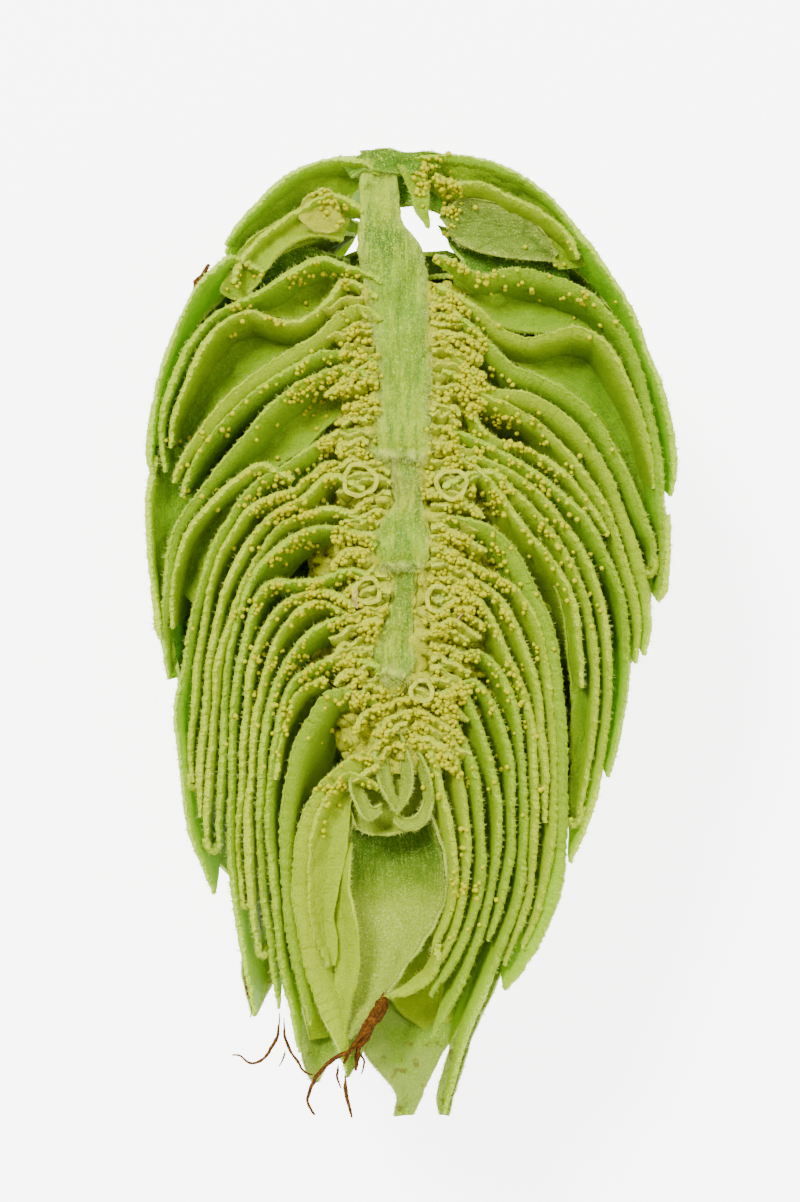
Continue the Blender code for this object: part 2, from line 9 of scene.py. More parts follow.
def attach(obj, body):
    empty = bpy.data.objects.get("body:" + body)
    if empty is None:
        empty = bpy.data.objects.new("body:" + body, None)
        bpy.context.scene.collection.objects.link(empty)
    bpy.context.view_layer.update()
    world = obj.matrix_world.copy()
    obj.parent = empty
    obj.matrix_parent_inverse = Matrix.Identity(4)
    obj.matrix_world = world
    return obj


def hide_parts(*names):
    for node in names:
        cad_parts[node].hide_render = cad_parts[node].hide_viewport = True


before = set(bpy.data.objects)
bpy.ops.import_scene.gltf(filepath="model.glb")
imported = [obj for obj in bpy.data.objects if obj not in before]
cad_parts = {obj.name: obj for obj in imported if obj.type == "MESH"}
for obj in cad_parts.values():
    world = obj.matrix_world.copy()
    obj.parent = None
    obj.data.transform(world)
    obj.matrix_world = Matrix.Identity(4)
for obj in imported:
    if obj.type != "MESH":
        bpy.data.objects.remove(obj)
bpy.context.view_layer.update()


# ---------------------------------------------------------------- strig
# The strig is the cone's central stalk, split lengthwise by the knife. Its cut face is moist
# and streaked along its length, with a darker green knot at each node and a rim of white hairs
# below it. The bracts grow out of both of its sides.
MM = 0.001
CUT_HEIGHT = 9.25
STRIG_EDGES = [               # height, left edge and right edge, in millimetres
    (17.95, -1.95, -0.85), (17.5, -1.8, -0.62), (16.6, -1.88, -0.42), (15.6, -1.93, -0.38),
    (15.0, -1.97, -0.1), (14.3, -2.02, 0.45), (13.6, -1.85, 0.6), (12.0, -1.6, 0.65),
    (10.2, -1.3, 0.8), (8.6, -1.25, 0.75), (7.3, -1.45, 0.75), (6.85, -1.7, 0.9), (6.5, -1.25, 0.55),
    (6.2, -0.85, 0.4),
    (5.4, -0.7, 0.45), (4.7, -0.75, 0.5), (4.2, -1.15, 0.6), (3.6, -1.5, 0.72), (3.0, -1.55, 0.7),
    (2.5, -1.2, 0.5), (2.2, -0.8, 0.3), (1.5, -0.75, 0.2), (0.5, -0.95, 0.1), (-0.2, -1.4, 0.1),
    (-1.0, -1.5, 0.2), (-1.7, -1.2, 0.0), (-2.3, -0.9, -0.4),
]
STRIG_STATIONS = 210
STRIG_FACE_COLUMNS = 30
STRIG_BACK_COLUMNS = 14
STRIG_DEPTH = 0.74            # of its width
FACE_DROP = 0.12              # how far the moist face shrank below the cut
STREAK_RELIEF = 0.05
CRUMB_RELIEF = 0.035
LUMP_RELIEF = 0.10
NODE_RELIEF = 0.16
RIM_RELIEF = 0.07
NODE_BULGES = ((3.3, 0.75, 1.0), (-0.75, 0.7, 0.8))     # height, spread and strength
NODE_RIMS = (                 # height, middle, arch across, and depth of the scallops
    (6.6, -0.35, 0.9, 0.05), (2.4, -0.4, -0.25, 0.14), (-1.6, -0.6, -0.3, 0.12),
)
RIM_WIDTH = 0.10


def curve_points(points, count):
    """count + 1 points on a smooth curve through points, knots spaced by the root of distance."""
    points = np.array(points, float)
    gaps = np.sqrt(np.linalg.norm(np.diff(points, axis=0), axis=1))
    knots = np.concatenate([[0.0], np.cumsum(gaps)])
    knots = np.concatenate([[-gaps[0]], knots, [knots[-1] + gaps[-1]]])
    points = np.vstack([2 * points[0] - points[1], points, 2 * points[-1] - points[-2]])
    out = []
    for q in np.linspace(0, knots[-2], count + 1):
        i = int(min(max(np.searchsorted(knots, q, side="left") - 1, 1), len(knots) - 3))
        k = knots[i - 1:i + 3]
        p = points[i - 1:i + 3]
        a = [p[j] + (p[j + 1] - p[j]) * (q - k[j]) / (k[j + 1] - k[j]) for j in range(3)]
        b = [a[j] + (a[j + 1] - a[j]) * (q - k[j]) / (k[j + 2] - k[j]) for j in range(2)]
        out.append(b[0] + (b[1] - b[0]) * (q - k[1]) / (k[2] - k[1]))
    return np.array(out)


def smooth(t):
    t = np.clip(t, 0.0, 1.0)
    return t * t * (3 - 2 * t)


def rough(points, size, seed=0.0):
    """Smooth random values from -1 to 1 at points in millimetres, for lumps of about size."""
    flat = points.reshape(-1, 3) / size + seed
    values = [noise.noise(Vector(p)) for p in flat]
    return np.array(values).reshape(points.shape[:-1]) * 1.6


def solid_mesh(name, points, faces, tags=None, flat_faces=0):
    """A closed mesh from points in millimetres, with any named values kept on its points."""
    mesh = bpy.data.meshes.new(name)
    mesh.from_pydata((points * MM).tolist(), [], faces)
    mesh.validate()
    for tag, values in (tags or {}).items():
        layer = mesh.attributes.new(tag, "FLOAT", "POINT")
        layer.data.foreach_set("value", np.asarray(values, np.float32).ravel())
    rounded = len(mesh.polygons) - flat_faces
    mesh.polygons.foreach_set("use_smooth", [True] * rounded + [False] * flat_faces)
    if flat_faces:
        corners = np.zeros(len(mesh.loops), np.float32)
        corners[-4 * flat_faces:] = 1.0
        mesh.attributes.new("cut", "FLOAT", "CORNER").data.foreach_set("value", corners)
    mesh.update()
    made = bpy.data.objects.new(name, mesh)
    bpy.context.scene.collection.objects.link(made)
    return made


def strig_side(y, side):
    """Where the strig's edge is at height y: on the left for side -1, on the right for side 1."""
    column = 1 if side < 0 else 2
    return np.interp(-y, [-edge[0] for edge in STRIG_EDGES], [edge[column] for edge in STRIG_EDGES])


def loft(name, rings, tags=None):
    """A closed tube through rings of equal length, capped at both ends."""
    count, around = rings.shape[:2]
    faces = []
    for i in range(count - 1):
        for j in range(around):
            k = (j + 1) % around
            faces.append((i * around + j, (i + 1) * around + j, (i + 1) * around + k, i * around + k))
    faces.append(tuple(range(around)))
    faces.append(tuple((count - 1) * around + j for j in reversed(range(around))))
    return solid_mesh(name, rings.reshape(-1, 3), faces, tags)


class Finish:
    """A node material with a short way to add and join nodes."""

    def __init__(self, name):
        self.material = bpy.data.materials.new(name)
        self.material.use_nodes = True
        self.tree = self.material.node_tree
        self.shader = self.tree.nodes["Principled BSDF"]
        self.output = self.tree.nodes["Material Output"]

    def node(self, kind, **settings):
        made = self.tree.nodes.new(kind)
        for key, value in settings.items():
            setattr(made, key, value)
        return made

    def join(self, source, target):
        self.tree.links.new(source, target)

    def place(self, scale=(1, 1, 1)):
        """Object coordinates in millimetres, stretched by scale."""
        where = self.node("ShaderNodeTexCoord")
        mapping = self.node("ShaderNodeMapping")
        mapping.inputs["Scale"].default_value = [s / MM for s in scale]
        self.join(where.outputs["Object"], mapping.inputs["Vector"])
        return mapping.outputs["Vector"]

    def tag(self, name):
        return self.node("ShaderNodeAttribute", attribute_name=name).outputs["Fac"]

    def grain(self, vector, size, detail=3.0, roughness=0.55):
        made = self.node("ShaderNodeTexNoise")
        made.inputs["Scale"].default_value = 1.0 / size
        made.inputs["Detail"].default_value = detail
        made.inputs["Roughness"].default_value = roughness
        self.join(vector, made.inputs["Vector"])
        return made.outputs["Fac"]

    def ramp(self, value, stops):
        """Value to colour or grey: stops are (position, colour)."""
        made = self.node("ShaderNodeValToRGB")
        elements = made.color_ramp.elements
        elements.remove(elements[1])
        elements[0].position = stops[0][0]
        for position, colour in stops[1:]:
            elements.new(position)
        for element, (position, colour) in zip(elements, stops):
            tone = (colour,) * 3 if isinstance(colour, (int, float)) else colour
            element.color = (*tone, 1.0)
        self.join(value, made.inputs["Fac"])
        return made.outputs["Color"]

    def blend(self, amount, a, b):
        made = self.node("ShaderNodeMix", data_type="RGBA")
        for index, value in ((0, amount), (6, a), (7, b)):
            if hasattr(value, "links"):
                self.join(value, made.inputs[index])
            elif index == 0:
                made.inputs[index].default_value = value
            else:
                made.inputs[index].default_value = (*value, 1.0)
        return made.outputs[2]

    def maths(self, operation, a, b=0.0, c=0.0):
        made = self.node("ShaderNodeMath", operation=operation)
        for index, value in enumerate((a, b, c)):
            if hasattr(value, "links"):
                self.join(value, made.inputs[index])
            else:
                made.inputs[index].default_value = value
        return made.outputs[0]

    def bump(self, height, depth, strength=0.7):
        made = self.node("ShaderNodeBump")
        made.inputs["Strength"].default_value = strength
        made.inputs["Distance"].default_value = depth * MM
        self.join(height, made.inputs["Height"])
        self.join(made.outputs["Normal"], self.shader.inputs["Normal"])
        return made.outputs["Normal"]

    def surface(self, colour, roughness, specular=0.5, sheen=0.0, glow=0.0, glow_colour=None):
        """Sets the shader, and lets a share of the light from behind through where glow is given."""
        self.join(colour, self.shader.inputs["Base Color"])
        if hasattr(roughness, "links"):
            self.join(roughness, self.shader.inputs["Roughness"])
        else:
            self.shader.inputs["Roughness"].default_value = roughness
        self.shader.inputs["Specular IOR Level"].default_value = specular
        self.shader.inputs["Sheen Weight"].default_value = sheen
        self.shader.inputs["Sheen Roughness"].default_value = 0.4
        if glow > 0:
            through = self.node("ShaderNodeBsdfTranslucent")
            self.join(glow_colour or colour, through.inputs["Color"])
            both = self.node("ShaderNodeMixShader")
            both.inputs["Fac"].default_value = glow
            self.join(self.shader.outputs["BSDF"], both.inputs[1])
            self.join(through.outputs["BSDF"], both.inputs[2])
            self.join(both.outputs["Shader"], self.output.inputs["Surface"])
        return self.material


edges = curve_points(STRIG_EDGES, STRIG_STATIONS)
strig_rings = []
for y, left, right in edges:
    across = np.linspace(0, 1, STRIG_FACE_COLUMNS)
    face = np.stack([left + (right - left) * across, np.full_like(across, y),
                     np.full_like(across, CUT_HEIGHT)], axis=1)
    turn = np.linspace(0, math.pi, STRIG_BACK_COLUMNS + 2)[1:-1]
    half = (right - left) / 2
    back = np.stack([(left + right) / 2 + half * np.cos(turn), np.full_like(turn, y),
                     CUT_HEIGHT - 2 * half * STRIG_DEPTH * np.sin(turn)], axis=1)
    strig_rings.append(np.vstack([face, back]))
strig_rings = np.array(strig_rings)
margin = np.abs(np.linspace(-1, 1, STRIG_FACE_COLUMNS))
streaks = rough(strig_rings * (1, 0.14, 0), 0.22)
crumbs = rough(strig_rings, 0.13, 3.0)
lumps = rough(strig_rings, 0.8, 7.0)
lift = STREAK_RELIEF * streaks + CRUMB_RELIEF * crumbs + LUMP_RELIEF * lumps
top = slice(0, STRIG_FACE_COLUMNS)
face_x, face_y = strig_rings[:, top, 0], strig_rings[:, top, 1]
node_bulge = 0 * face_y
for bulge_y, spread, strength in NODE_BULGES:
    node_bulge += strength * np.exp(-((face_y - bulge_y) / spread) ** 2)
node_rim = 0 * face_y
for rim_y, rim_x, arch, lobes in NODE_RIMS:
    below = rim_y - arch * (face_x - rim_x) ** 2 + lobes * np.cos(7 * face_x) - face_y
    hollow_below = smooth(below / 0.12) * np.exp(-np.maximum(below, 0) / 1.1)
    node_rim += np.exp(-(below / RIM_WIDTH) ** 2) - 2.6 * hollow_below
strig_rings[:, top, 2] += (lift[:, top] - FACE_DROP + NODE_RELIEF * node_bulge * (1 - margin ** 2)
                           + RIM_RELIEF * node_rim - FACE_DROP * margin ** 6)
strig_rings[:, :, 0] += 0.07 * rough(strig_rings * (0.3, 1, 1), 0.35, 5.0)
edge_tag = np.zeros(strig_rings.shape[:2])
edge_tag[:, top] = margin
strig = loft("strig_stalk", strig_rings, {"margin": edge_tag})

STRIG_ZONES = [               # share of the way up, and its colour
    (0.00, (0.28, 0.32, 0.01)), (0.045, (0.40, 0.42, 0.06)), (0.07, (0.16, 0.23, 0.001)),
    (0.12, (0.19, 0.26, 0.002)), (0.17, (0.13, 0.18, 0.001)), (0.225, (0.14, 0.18, 0.001)),
    (0.238, (0.44, 0.50, 0.07)), (0.252, (0.21, 0.31, 0.001)), (0.32, (0.14, 0.25, 0.0)),
    (0.345, (0.27, 0.33, 0.01)), (0.42, (0.26, 0.30, 0.03)), (0.432, (0.46, 0.52, 0.08)),
    (0.446, (0.25, 0.35, 0.003)), (0.60, (0.16, 0.27, 0.0)), (0.775, (0.15, 0.27, 0.0)),
    (0.785, (0.06, 0.15, 0.0)), (0.835, (0.05, 0.13, 0.0)), (0.86, (0.22, 0.32, 0.002)),
    (0.945, (0.27, 0.36, 0.01)), (0.965, (0.06, 0.14, 0.0)), (1.0, (0.05, 0.12, 0.0)),
]
ZONES_FROM = -2.5
ZONES_LENGTH = 21
STREAK_LIGHT = (0.30, 0.42, 0.0)
STREAK_DARK = (0.08, 0.18, 0.0)
STRIG_MARGIN_PALE = (0.42, 0.50, 0.05)
STRIG_HAIR_PALE = (0.44, 0.56, 0.03)
look = Finish("moist_stalk_green")
fine = look.place()
along_y = look.node("ShaderNodeSeparateXYZ")
look.join(fine, along_y.inputs["Vector"])
wander = look.maths("MULTIPLY_ADD", look.grain(fine, 0.7), 0.9, -0.45)
height = look.maths("ADD", along_y.outputs["Y"], wander)
height = look.maths("MULTIPLY_ADD", height, 1 / ZONES_LENGTH, -ZONES_FROM / ZONES_LENGTH)
zones = look.ramp(height, STRIG_ZONES)
streak = look.grain(look.place((1, 0.09, 1)), 0.15, 4.0, 0.6)
streaked = look.blend(look.ramp(streak, [(0.48, 0.0), (0.64, 0.8)]), zones, STREAK_LIGHT)
furrow = look.grain(look.place((1, 0.16, 1)), 0.30, 2.0)
streaked = look.blend(look.ramp(furrow, [(0.38, 0.8), (0.55, 0.0)]), streaked, STREAK_DARK)
rim = look.maths("POWER", look.tag("margin"), 5.0)
rim = look.maths("MULTIPLY", rim, look.grain(fine, 0.25))
streaked = look.blend(look.maths("MULTIPLY", rim, 1.3), streaked, STRIG_MARGIN_PALE)
hairy = look.ramp(look.grain(fine, 0.07, 2.0), [(0.55, 0.0), (0.66, 0.7)])
streaked = look.blend(hairy, streaked, STRIG_HAIR_PALE)
wet = look.ramp(look.grain(fine, 0.12, 2.0), [(0.42, 0.22), (0.6, 0.6)])
look.bump(look.grain(look.place((1, 0.35, 1)), 0.11, 4.0, 0.65), 0.13, 1.0)
strig.data.materials.append(look.surface(streaked, wet, 0.25, 0.0, 0.1))
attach(strig, "root")
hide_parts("strig")


# ---------------------------------------------------------------- cut bracts and bracteoles
# Leafy scales nested one in the next on both sides of the strig: green bracts, and paler, thinner
# bracteoles that cup the seeds. The knife left each one's edge as a pale, hairy ribbon; behind it
# the leaf wraps round the back of the cone, painted greener and darker the deeper it goes, as shade.
STRIG_AXIS_X = -0.5           # the axis that leaves wrap round, and where it leans near the tip
TIP_AXIS_X = -1.35
TIP_BEND_START = -4.0
TIP_BEND_LENGTH = 12.0
# Each leaf is its kind, the degrees that it reaches round the back, the width of the lip beside its
# cut edge, and the edge's course as (distance from the middle, height).
LEFT_LEAVES = [
    ("bract", 62, 0.10, [(2.3, 17.6), (3.2, 17.55), (4.3, 17.1), (5.3, 16.4), (6.2, 15.4), (6.85, 14.4)]),
    ("bracteole", 58, 0.10, [(3.0, 16.3), (4.2, 15.75), (5.2, 15.1), (6.0, 14.3), (6.45, 13.6),
                             (6.6, 13.0)]),
    ("bract", 40, 0.12, [(6.7, 14.0), (7.3, 13.55), (8.05, 12.65), (8.75, 11.2), (9.35, 9.5),
                         (9.65, 7.8), (9.72, 6.7), (9.5, 5.5)]),
    ("bract", 27, 0.10, [(2.3, 13.6), (3.3, 13.95), (4.3, 13.5), (5.5, 12.75), (6.5, 12.3),
                         (7.3, 11.85), (8.05, 11.0), (8.6, 10.1), (9.0, 9.1), (9.25, 8.0), (9.3, 7.0),
                         (9.1, 6.0)]),
    ("bracteole", 46, 0.12, [(2.5, 13.1), (3.0, 12.4), (3.7, 11.8), (4.5, 11.57), (5.2, 11.75),
                             (6.0, 12.0), (6.9, 11.6), (7.6, 10.85), (8.15, 9.9), (8.55, 8.9),
                             (8.87, 7.9), (8.92, 6.9)]),
    ("bracteole", 46, 0.42, [(2.05, 12.2), (2.8, 11.8), (3.5, 11.15), (4.5, 10.55), (5.5, 9.85),
                             (6.5, 9.1), (7.3, 8.3), (8.0, 7.3), (8.55, 6.4), (8.8, 5.6)]),
    ("bract", 46, 0.14, [(2.2, 10.45), (3.3, 10.45), (4.3, 9.95), (5.3, 9.4), (6.4, 8.55), (7.3, 7.6),
                         (8.0, 6.6), (8.4, 5.7), (8.55, 5.1)]),
    ("bract", 46, 0.30, [(2.5, 9.9), (3.7, 9.55), (4.6, 9.0), (5.5, 8.2), (6.2, 7.35), (7.0, 6.35),
                         (7.8, 5.35), (8.5, 4.4), (8.95, 3.3), (9.15, 1.8), (9.2, 0.3), (9.0, -1.6)]),
    ("bracteole", 40, 0.12, [(5.6, 6.3), (6.3, 5.85), (7.1, 5.25), (7.8, 4.5), (8.4, 3.6), (8.72, 2.6),
                             (8.85, 1.4), (8.85, 0.2)]),
    ("bract", 46, 0.22, [(1.9, 7.6), (3.0, 7.4), (4.1, 6.75), (5.0, 6.1), (5.7, 5.7), (6.35, 5.0),
                         (6.9, 4.15), (7.4, 3.2), (7.8, 2.1), (8.1, 1.0), (8.25, 0), (8.45, -1.1),
                         (8.7, -2.2), (8.75, -3.2), (8.6, -4.4), (8.5, -5.6), (8.3, -6.8), (8.0, -7.9),
                         (7.65, -8.9), (7.3, -9.65)]),
    ("bracteole", 46, 0.12, [(3.0, 6.45), (3.8, 5.9), (4.3, 5.4), (5.2, 5.1), (6.0, 4.7), (6.5, 4.0),
                             (7.0, 3.1), (7.35, 2.1), (7.65, 0.9), (7.85, -0.2), (8.0, -1.3),
                             (8.12, -2.5), (8.22, -3.6), (8.22, -4.6), (8.1, -5.5)]),
    ("bracteole", 46, 0.12, [(3.0, 5.9), (4.0, 5.05), (5.0, 4.6), (5.7, 3.9), (6.3, 3.0), (6.9, 1.7),
                             (7.2, 0.7), (7.42, -0.3), (7.57, -1.3), (7.68, -2.4), (7.75, -3.5),
                             (7.82, -4.7), (7.87, -5.8), (7.85, -6.8)]),
    ("bracteole", 46, 0.14, [(3.0, 4.7), (4.2, 4.4), (5.0, 3.95), (5.6, 3.2), (6.05, 2.3), (6.6, 1.0),
                             (6.98, -0.1), (7.2, -1.2), (7.32, -2.4), (7.4, -3.5), (7.46, -4.6),
                             (7.52, -5.7), (7.58, -6.8), (7.5, -7.8)]),
    ("bract", 27, 0.12, [(2.5, 3.9), (3.5, 3.95), (4.5, 3.5), (5.3, 2.85), (5.9, 2.1), (6.3, 1.1),
                         (6.62, 0), (6.85, -1.2), (6.97, -2.4), (7.02, -3.6), (7.05, -4.8),
                         (7.12, -6), (7.17, -7), (7.08, -8)]),
    ("bract", 84, 0.14, [(2.3, 2.45), (3.4, 2.05), (4.3, 1.95), (5.1, 2.0), (5.65, 1.5), (5.98, 0.6),
                         (6.24, -0.4), (6.45, -1.5), (6.6, -2.7), (6.67, -4), (6.73, -5.4),
                         (6.78, -6.8), (6.75, -8.2), (6.6, -9.6), (6.38, -11), (6.1, -12.4),
                         (5.85, -14.2)]),
    ("bracteole", 38, 0.12, [(3.3, 1.65), (4.2, 1.5), (4.9, 1.05), (5.4, 0.3), (5.75, -0.5),
                             (5.98, -1.4), (6.15, -2.6), (6.25, -4), (6.33, -5.2), (6.4, -6.4),
                             (6.43, -7.6), (6.38, -8.8), (6.25, -9.9)]),
    ("bracteole", 38, 0.12, [(3.4, 1.2), (4.05, 0.95), (4.65, 0.3), (5.1, -0.4), (5.42, -1.3),
                             (5.65, -2.3), (5.82, -3.4), (5.93, -4.6), (6.02, -5.8), (6.08, -7),
                             (6.05, -8.2), (5.95, -9.4), (5.85, -10.6), (5.65, -11.7)]),
    ("bract", 38, 0.14, [(2.4, 0.65), (3.2, 0.4), (4.0, -0.15), (4.6, -0.85), (5.0, -1.7),
                         (5.28, -2.7), (5.45, -3.8), (5.58, -5), (5.67, -6.2), (5.68, -7.4),
                         (5.6, -8.6), (5.5, -9.8), (5.35, -11), (5.15, -12.4), (4.9, -13.9)]),
    ("bract", 38, 0.18, [(1.9, -0.95), (2.9, -0.9), (3.8, -1.25), (4.45, -1.85), (4.85, -2.7),
                         (5.07, -3.8), (5.22, -5), (5.3, -6.2), (5.3, -7.4), (5.22, -8.6), (5.12, -9.8),
                         (5.0, -11), (4.8, -12.4), (4.45, -14), (4.15, -15.5)]),
    ("bract", 38, 0.50, [(2.3, -2.0), (3.1, -2.15), (3.75, -2.95), (4.25, -3.9), (4.6, -5),
                         (4.82, -6.3), (4.88, -8), (4.78, -9.6), (4.62, -11), (4.35, -12.4),
                         (4.0, -13.7), (3.75, -14.5)]),
    ("bracteole", 34, 0.75, [(1.9, -4.45), (2.6, -4.85), (3.4, -5.5), (3.95, -6.5), (4.25, -7.7),
                             (4.35, -9.2), (4.25, -10.8), (3.95, -12.4), (3.4, -13.9),
                             (2.85, -15.1), (2.4, -16.2)]),
    ("bracteole", 30, 0.25, [(2.4, -5.1), (3.1, -5.9), (3.55, -7.0), (3.75, -8.2), (3.8, -9.4),
                             (3.72, -10.5), (3.5, -11.5), (3.1, -12.3)]),
]
RIGHT_LEAVES = [
    ("bract", 46, 0.10, [(-0.25, 17.6), (1.4, 17.8), (3.0, 17.5), (4.3, 16.9), (5.4, 16.0),
                         (6.2, 14.95), (7.0, 13.8), (7.8, 12.7), (8.4, 11.5), (8.9, 10.2), (9.3, 9),
                         (9.6, 7.9), (9.75, 6.7), (9.75, 5.9), (9.65, 5.1)]),
    ("bracteole", 58, 0.10, [(0.9, 17.05), (1.7, 16.75), (2.6, 16.75), (3.6, 16.3), (4.4, 15.9),
                             (5.3, 15.3), (5.9, 14.65), (6.2, 13.9)]),
    ("bract", 25, 0.30, [(0.9, 14.05), (1.6, 13.8), (2.6, 13.35), (3.6, 13.55), (4.8, 13.4),
                         (6.0, 13.0), (6.9, 12.4), (7.7, 11.5), (8.25, 10.5), (8.7, 9.3), (9.05, 7.8),
                         (9.3, 6.4), (9.4, 4.8), (9.42, 3.8), (9.4, 2.6), (9.25, 1.3)]),
    ("bracteole", 46, 0.25, [(1.0, 12.95), (1.8, 12.55), (2.7, 11.9), (3.4, 11.3), (4.3, 10.98),
                             (5.1, 11.15), (6.0, 11.4), (6.9, 11.1), (7.55, 10.4), (8.05, 9.5),
                             (8.45, 8.5), (8.75, 7.4), (8.95, 6.3), (9.05, 5.4)]),
    ("bract", 46, 0.30, [(1.05, 11.9), (1.9, 11.7), (2.7, 11.05), (3.4, 10.35), (4.0, 9.85),
                         (4.9, 9.5), (5.8, 8.95), (6.7, 8.2), (7.4, 7.25), (8.0, 6.15), (8.4, 5.1),
                         (8.75, 4.1), (9.05, 3.2), (8.95, 2.5)]),
    ("bracteole", 27, 0.34, [(1.2, 11.2), (1.6, 10.55), (2.3, 9.8), (3.1, 9.15), (4.2, 9.0),
                             (5.2, 8.5), (6.1, 7.8), (6.8, 6.9), (7.4, 5.85), (7.9, 4.75), (8.3, 3.65),
                             (8.6, 2.5), (8.82, 1.3), (8.85, 0.2), (8.65, -0.8)]),
    ("bracteole", 46, 0.20, [(1.2, 9.85), (1.9, 9.55), (2.7, 8.9), (3.7, 8.55), (4.5, 8.05),
                             (5.3, 7.35), (6.1, 6.5), (6.8, 5.5), (7.3, 4.6), (7.78, 3.5), (8.12, 2.4),
                             (8.38, 1.2), (8.45, 0.0), (8.35, -1.1)]),
    ("bract", 46, 0.20, [(1.05, 7.75), (2.2, 7.35), (3.2, 6.85), (4.2, 6.3), (5.0, 5.7), (5.9, 4.9),
                         (6.6, 4.1), (7.1, 3.3), (7.55, 2.4), (7.9, 1.4), (8.1, 0.3), (8.12, -0.8),
                         (8.05, -2.0), (7.87, -3.2), (7.62, -4.3), (7.3, -5.3)]),
    ("bracteole", 46, 0.14, [(2.4, 6.6), (3.4, 6.25), (4.4, 5.55), (5.1, 4.9), (5.8, 4.05), (6.4, 3.1),
                             (6.8, 2.1), (7.1, 1.0), (7.3, -0.1), (7.38, -1.3), (7.35, -2.6),
                             (7.22, -4), (7.02, -5.3), (6.78, -6.4), (6.5, -7.3), (5.95, -8.5)]),
    ("bracteole", 46, 0.16, [(3.0, 6.0), (3.8, 5.3), (4.6, 4.55), (5.3, 3.7), (5.9, 2.75), (6.4, 1.7),
                             (6.73, 0.5), (6.93, -0.7), (6.98, -2), (6.9, -3.3), (6.72, -4.6),
                             (6.5, -5.8), (6.25, -6.7)]),
    ("bracteole", 44, 0.14, [(2.45, 6.05), (2.9, 5.75), (3.35, 5.15), (3.85, 4.4), (4.4, 3.7),
                             (5.1, 2.95), (5.7, 2.1), (6.05, 1.2), (6.22, 0.2), (6.28, -0.9),
                             (6.3, -2.0)]),
    ("bract", 84, 0.50, [(1.0, 4.3), (1.9, 4.35), (2.9, 4.0), (3.7, 3.3), (4.25, 2.45), (4.75, 1.5),
                         (5.15, 0.6), (5.4, -0.3), (5.57, -1.4), (5.7, -2.8), (5.77, -4.4), (5.8, -6),
                         (5.77, -7.4), (5.65, -8.8), (5.35, -10.1), (4.9, -11.2), (4.2, -12.4),
                         (3.5, -13.2)]),
    ("bracteole", 38, 0.18, [(0.95, 3.2), (1.9, 2.75), (2.9, 2.35), (3.75, 1.85), (4.3, 1.15),
                             (4.7, 0.3), (4.98, -0.7), (5.17, -1.9), (5.3, -3.2), (5.37, -4.8),
                             (5.37, -6.4), (5.25, -8), (5.02, -9.4), (4.7, -10.6), (4.2, -11.7)]),
    ("bracteole", 38, 0.14, [(2.3, 2.0), (3.0, 1.65), (3.6, 0.9), (4.0, 0.1), (4.35, -0.8),
                             (4.63, -1.8), (4.83, -2.9), (4.97, -4.2), (5.02, -5.6), (5.0, -7)]),
    ("bracteole", 38, 0.14, [(2.1, 1.45), (2.65, 1.1), (3.1, 0.3), (3.5, -0.55), (3.92, -1.3),
                             (4.25, -2.2), (4.48, -3.3), (4.62, -4.6), (4.68, -6), (4.66, -7.4),
                             (4.55, -8.8), (4.35, -10), (3.95, -11.2), (3.45, -12.3)]),
    ("bract", 38, 0.14, [(2.4, -0.6), (3.1, -1.05), (3.65, -1.95), (3.97, -3), (4.15, -4.4),
                         (4.25, -5.8), (4.27, -7.2), (4.2, -8.4), (4.05, -9.6), (3.75, -10.8),
                         (3.3, -12), (2.75, -13.3), (2.15, -14.8), (1.65, -16.3), (1.3, -17.8)]),
    ("bract", 38, 0.14, [(2.3, -1.7), (2.9, -2.3), (3.35, -3.2), (3.65, -4.4), (3.8, -5.6),
                         (3.82, -6.8), (3.77, -8), (3.6, -9.2), (3.3, -10.4), (2.9, -11.4)]),
    ("bract", 38, 0.16, [(1.9, -2.1), (2.35, -2.8), (2.72, -3.8), (3.0, -4.8), (3.22, -5.8),
                         (3.3, -6.9), (3.25, -8), (3.1, -9.2), (2.8, -10.5), (2.4, -11.8), (1.9, -13),
                         (1.35, -14), (0.8, -15.0)]),
    ("bract", 36, 0.16, [(1.6, -3.0), (2.0, -3.8), (2.33, -4.8), (2.55, -6), (2.68, -7.4),
                         (2.68, -8.8), (2.5, -10), (2.1, -11.2), (1.5, -12.4), (0.7, -13.4)]),
    ("bracteole", 34, 0.14, [(1.3, -3.5), (1.65, -4.4), (1.9, -5.4), (2.08, -6.6), (2.17, -8),
                             (2.07, -9.4), (1.8, -10.6), (1.35, -11.7), (0.7, -12.7)]),
    ("bracteole", 30, 0.12, [(0.65, -4.1), (1.0, -5), (1.3, -6.2), (1.5, -7.4), (1.65, -8.6),
                             (1.62, -9.8), (1.3, -10.9), (0.75, -11.8)]),
]
LEAF_LENGTH_STEP = 0.075      # millimetres between points along a leaf
LEAF_CROSS_ROWS = 17
EDGE_THICKNESS = 0.27         # the cut ribbon, and the leaf well behind it
LEAF_THICKNESS = 0.10
LEAN_IN = 0.30                # how far the leaf behind the cut leans inwards, and leans down at its base
LEAN_DOWN = 0.75
LIP_DEPTH = 0.22              # the depths over which the lip bends, and the leaf leans
LEAN_DEPTH = 1.6
LEAF_WAVE = 0.06
LEAF_RIPPLE = 0.012
EDGE_SWELL = 0.12             # ups and downs of the cut edge, and how far it lies below the cut
EDGE_JAG = 0.05
EDGE_FRAY = 0.045
EDGE_DROP = 0.09
BASE_BACKSET = ((1.25, -0.55), (0.65, -0.2))
BASE_NEAREST = 1.15           # no leaf starts nearer to the middle than this
leaf_faces = []               # middle surfaces and normals kept for the glands and hairs


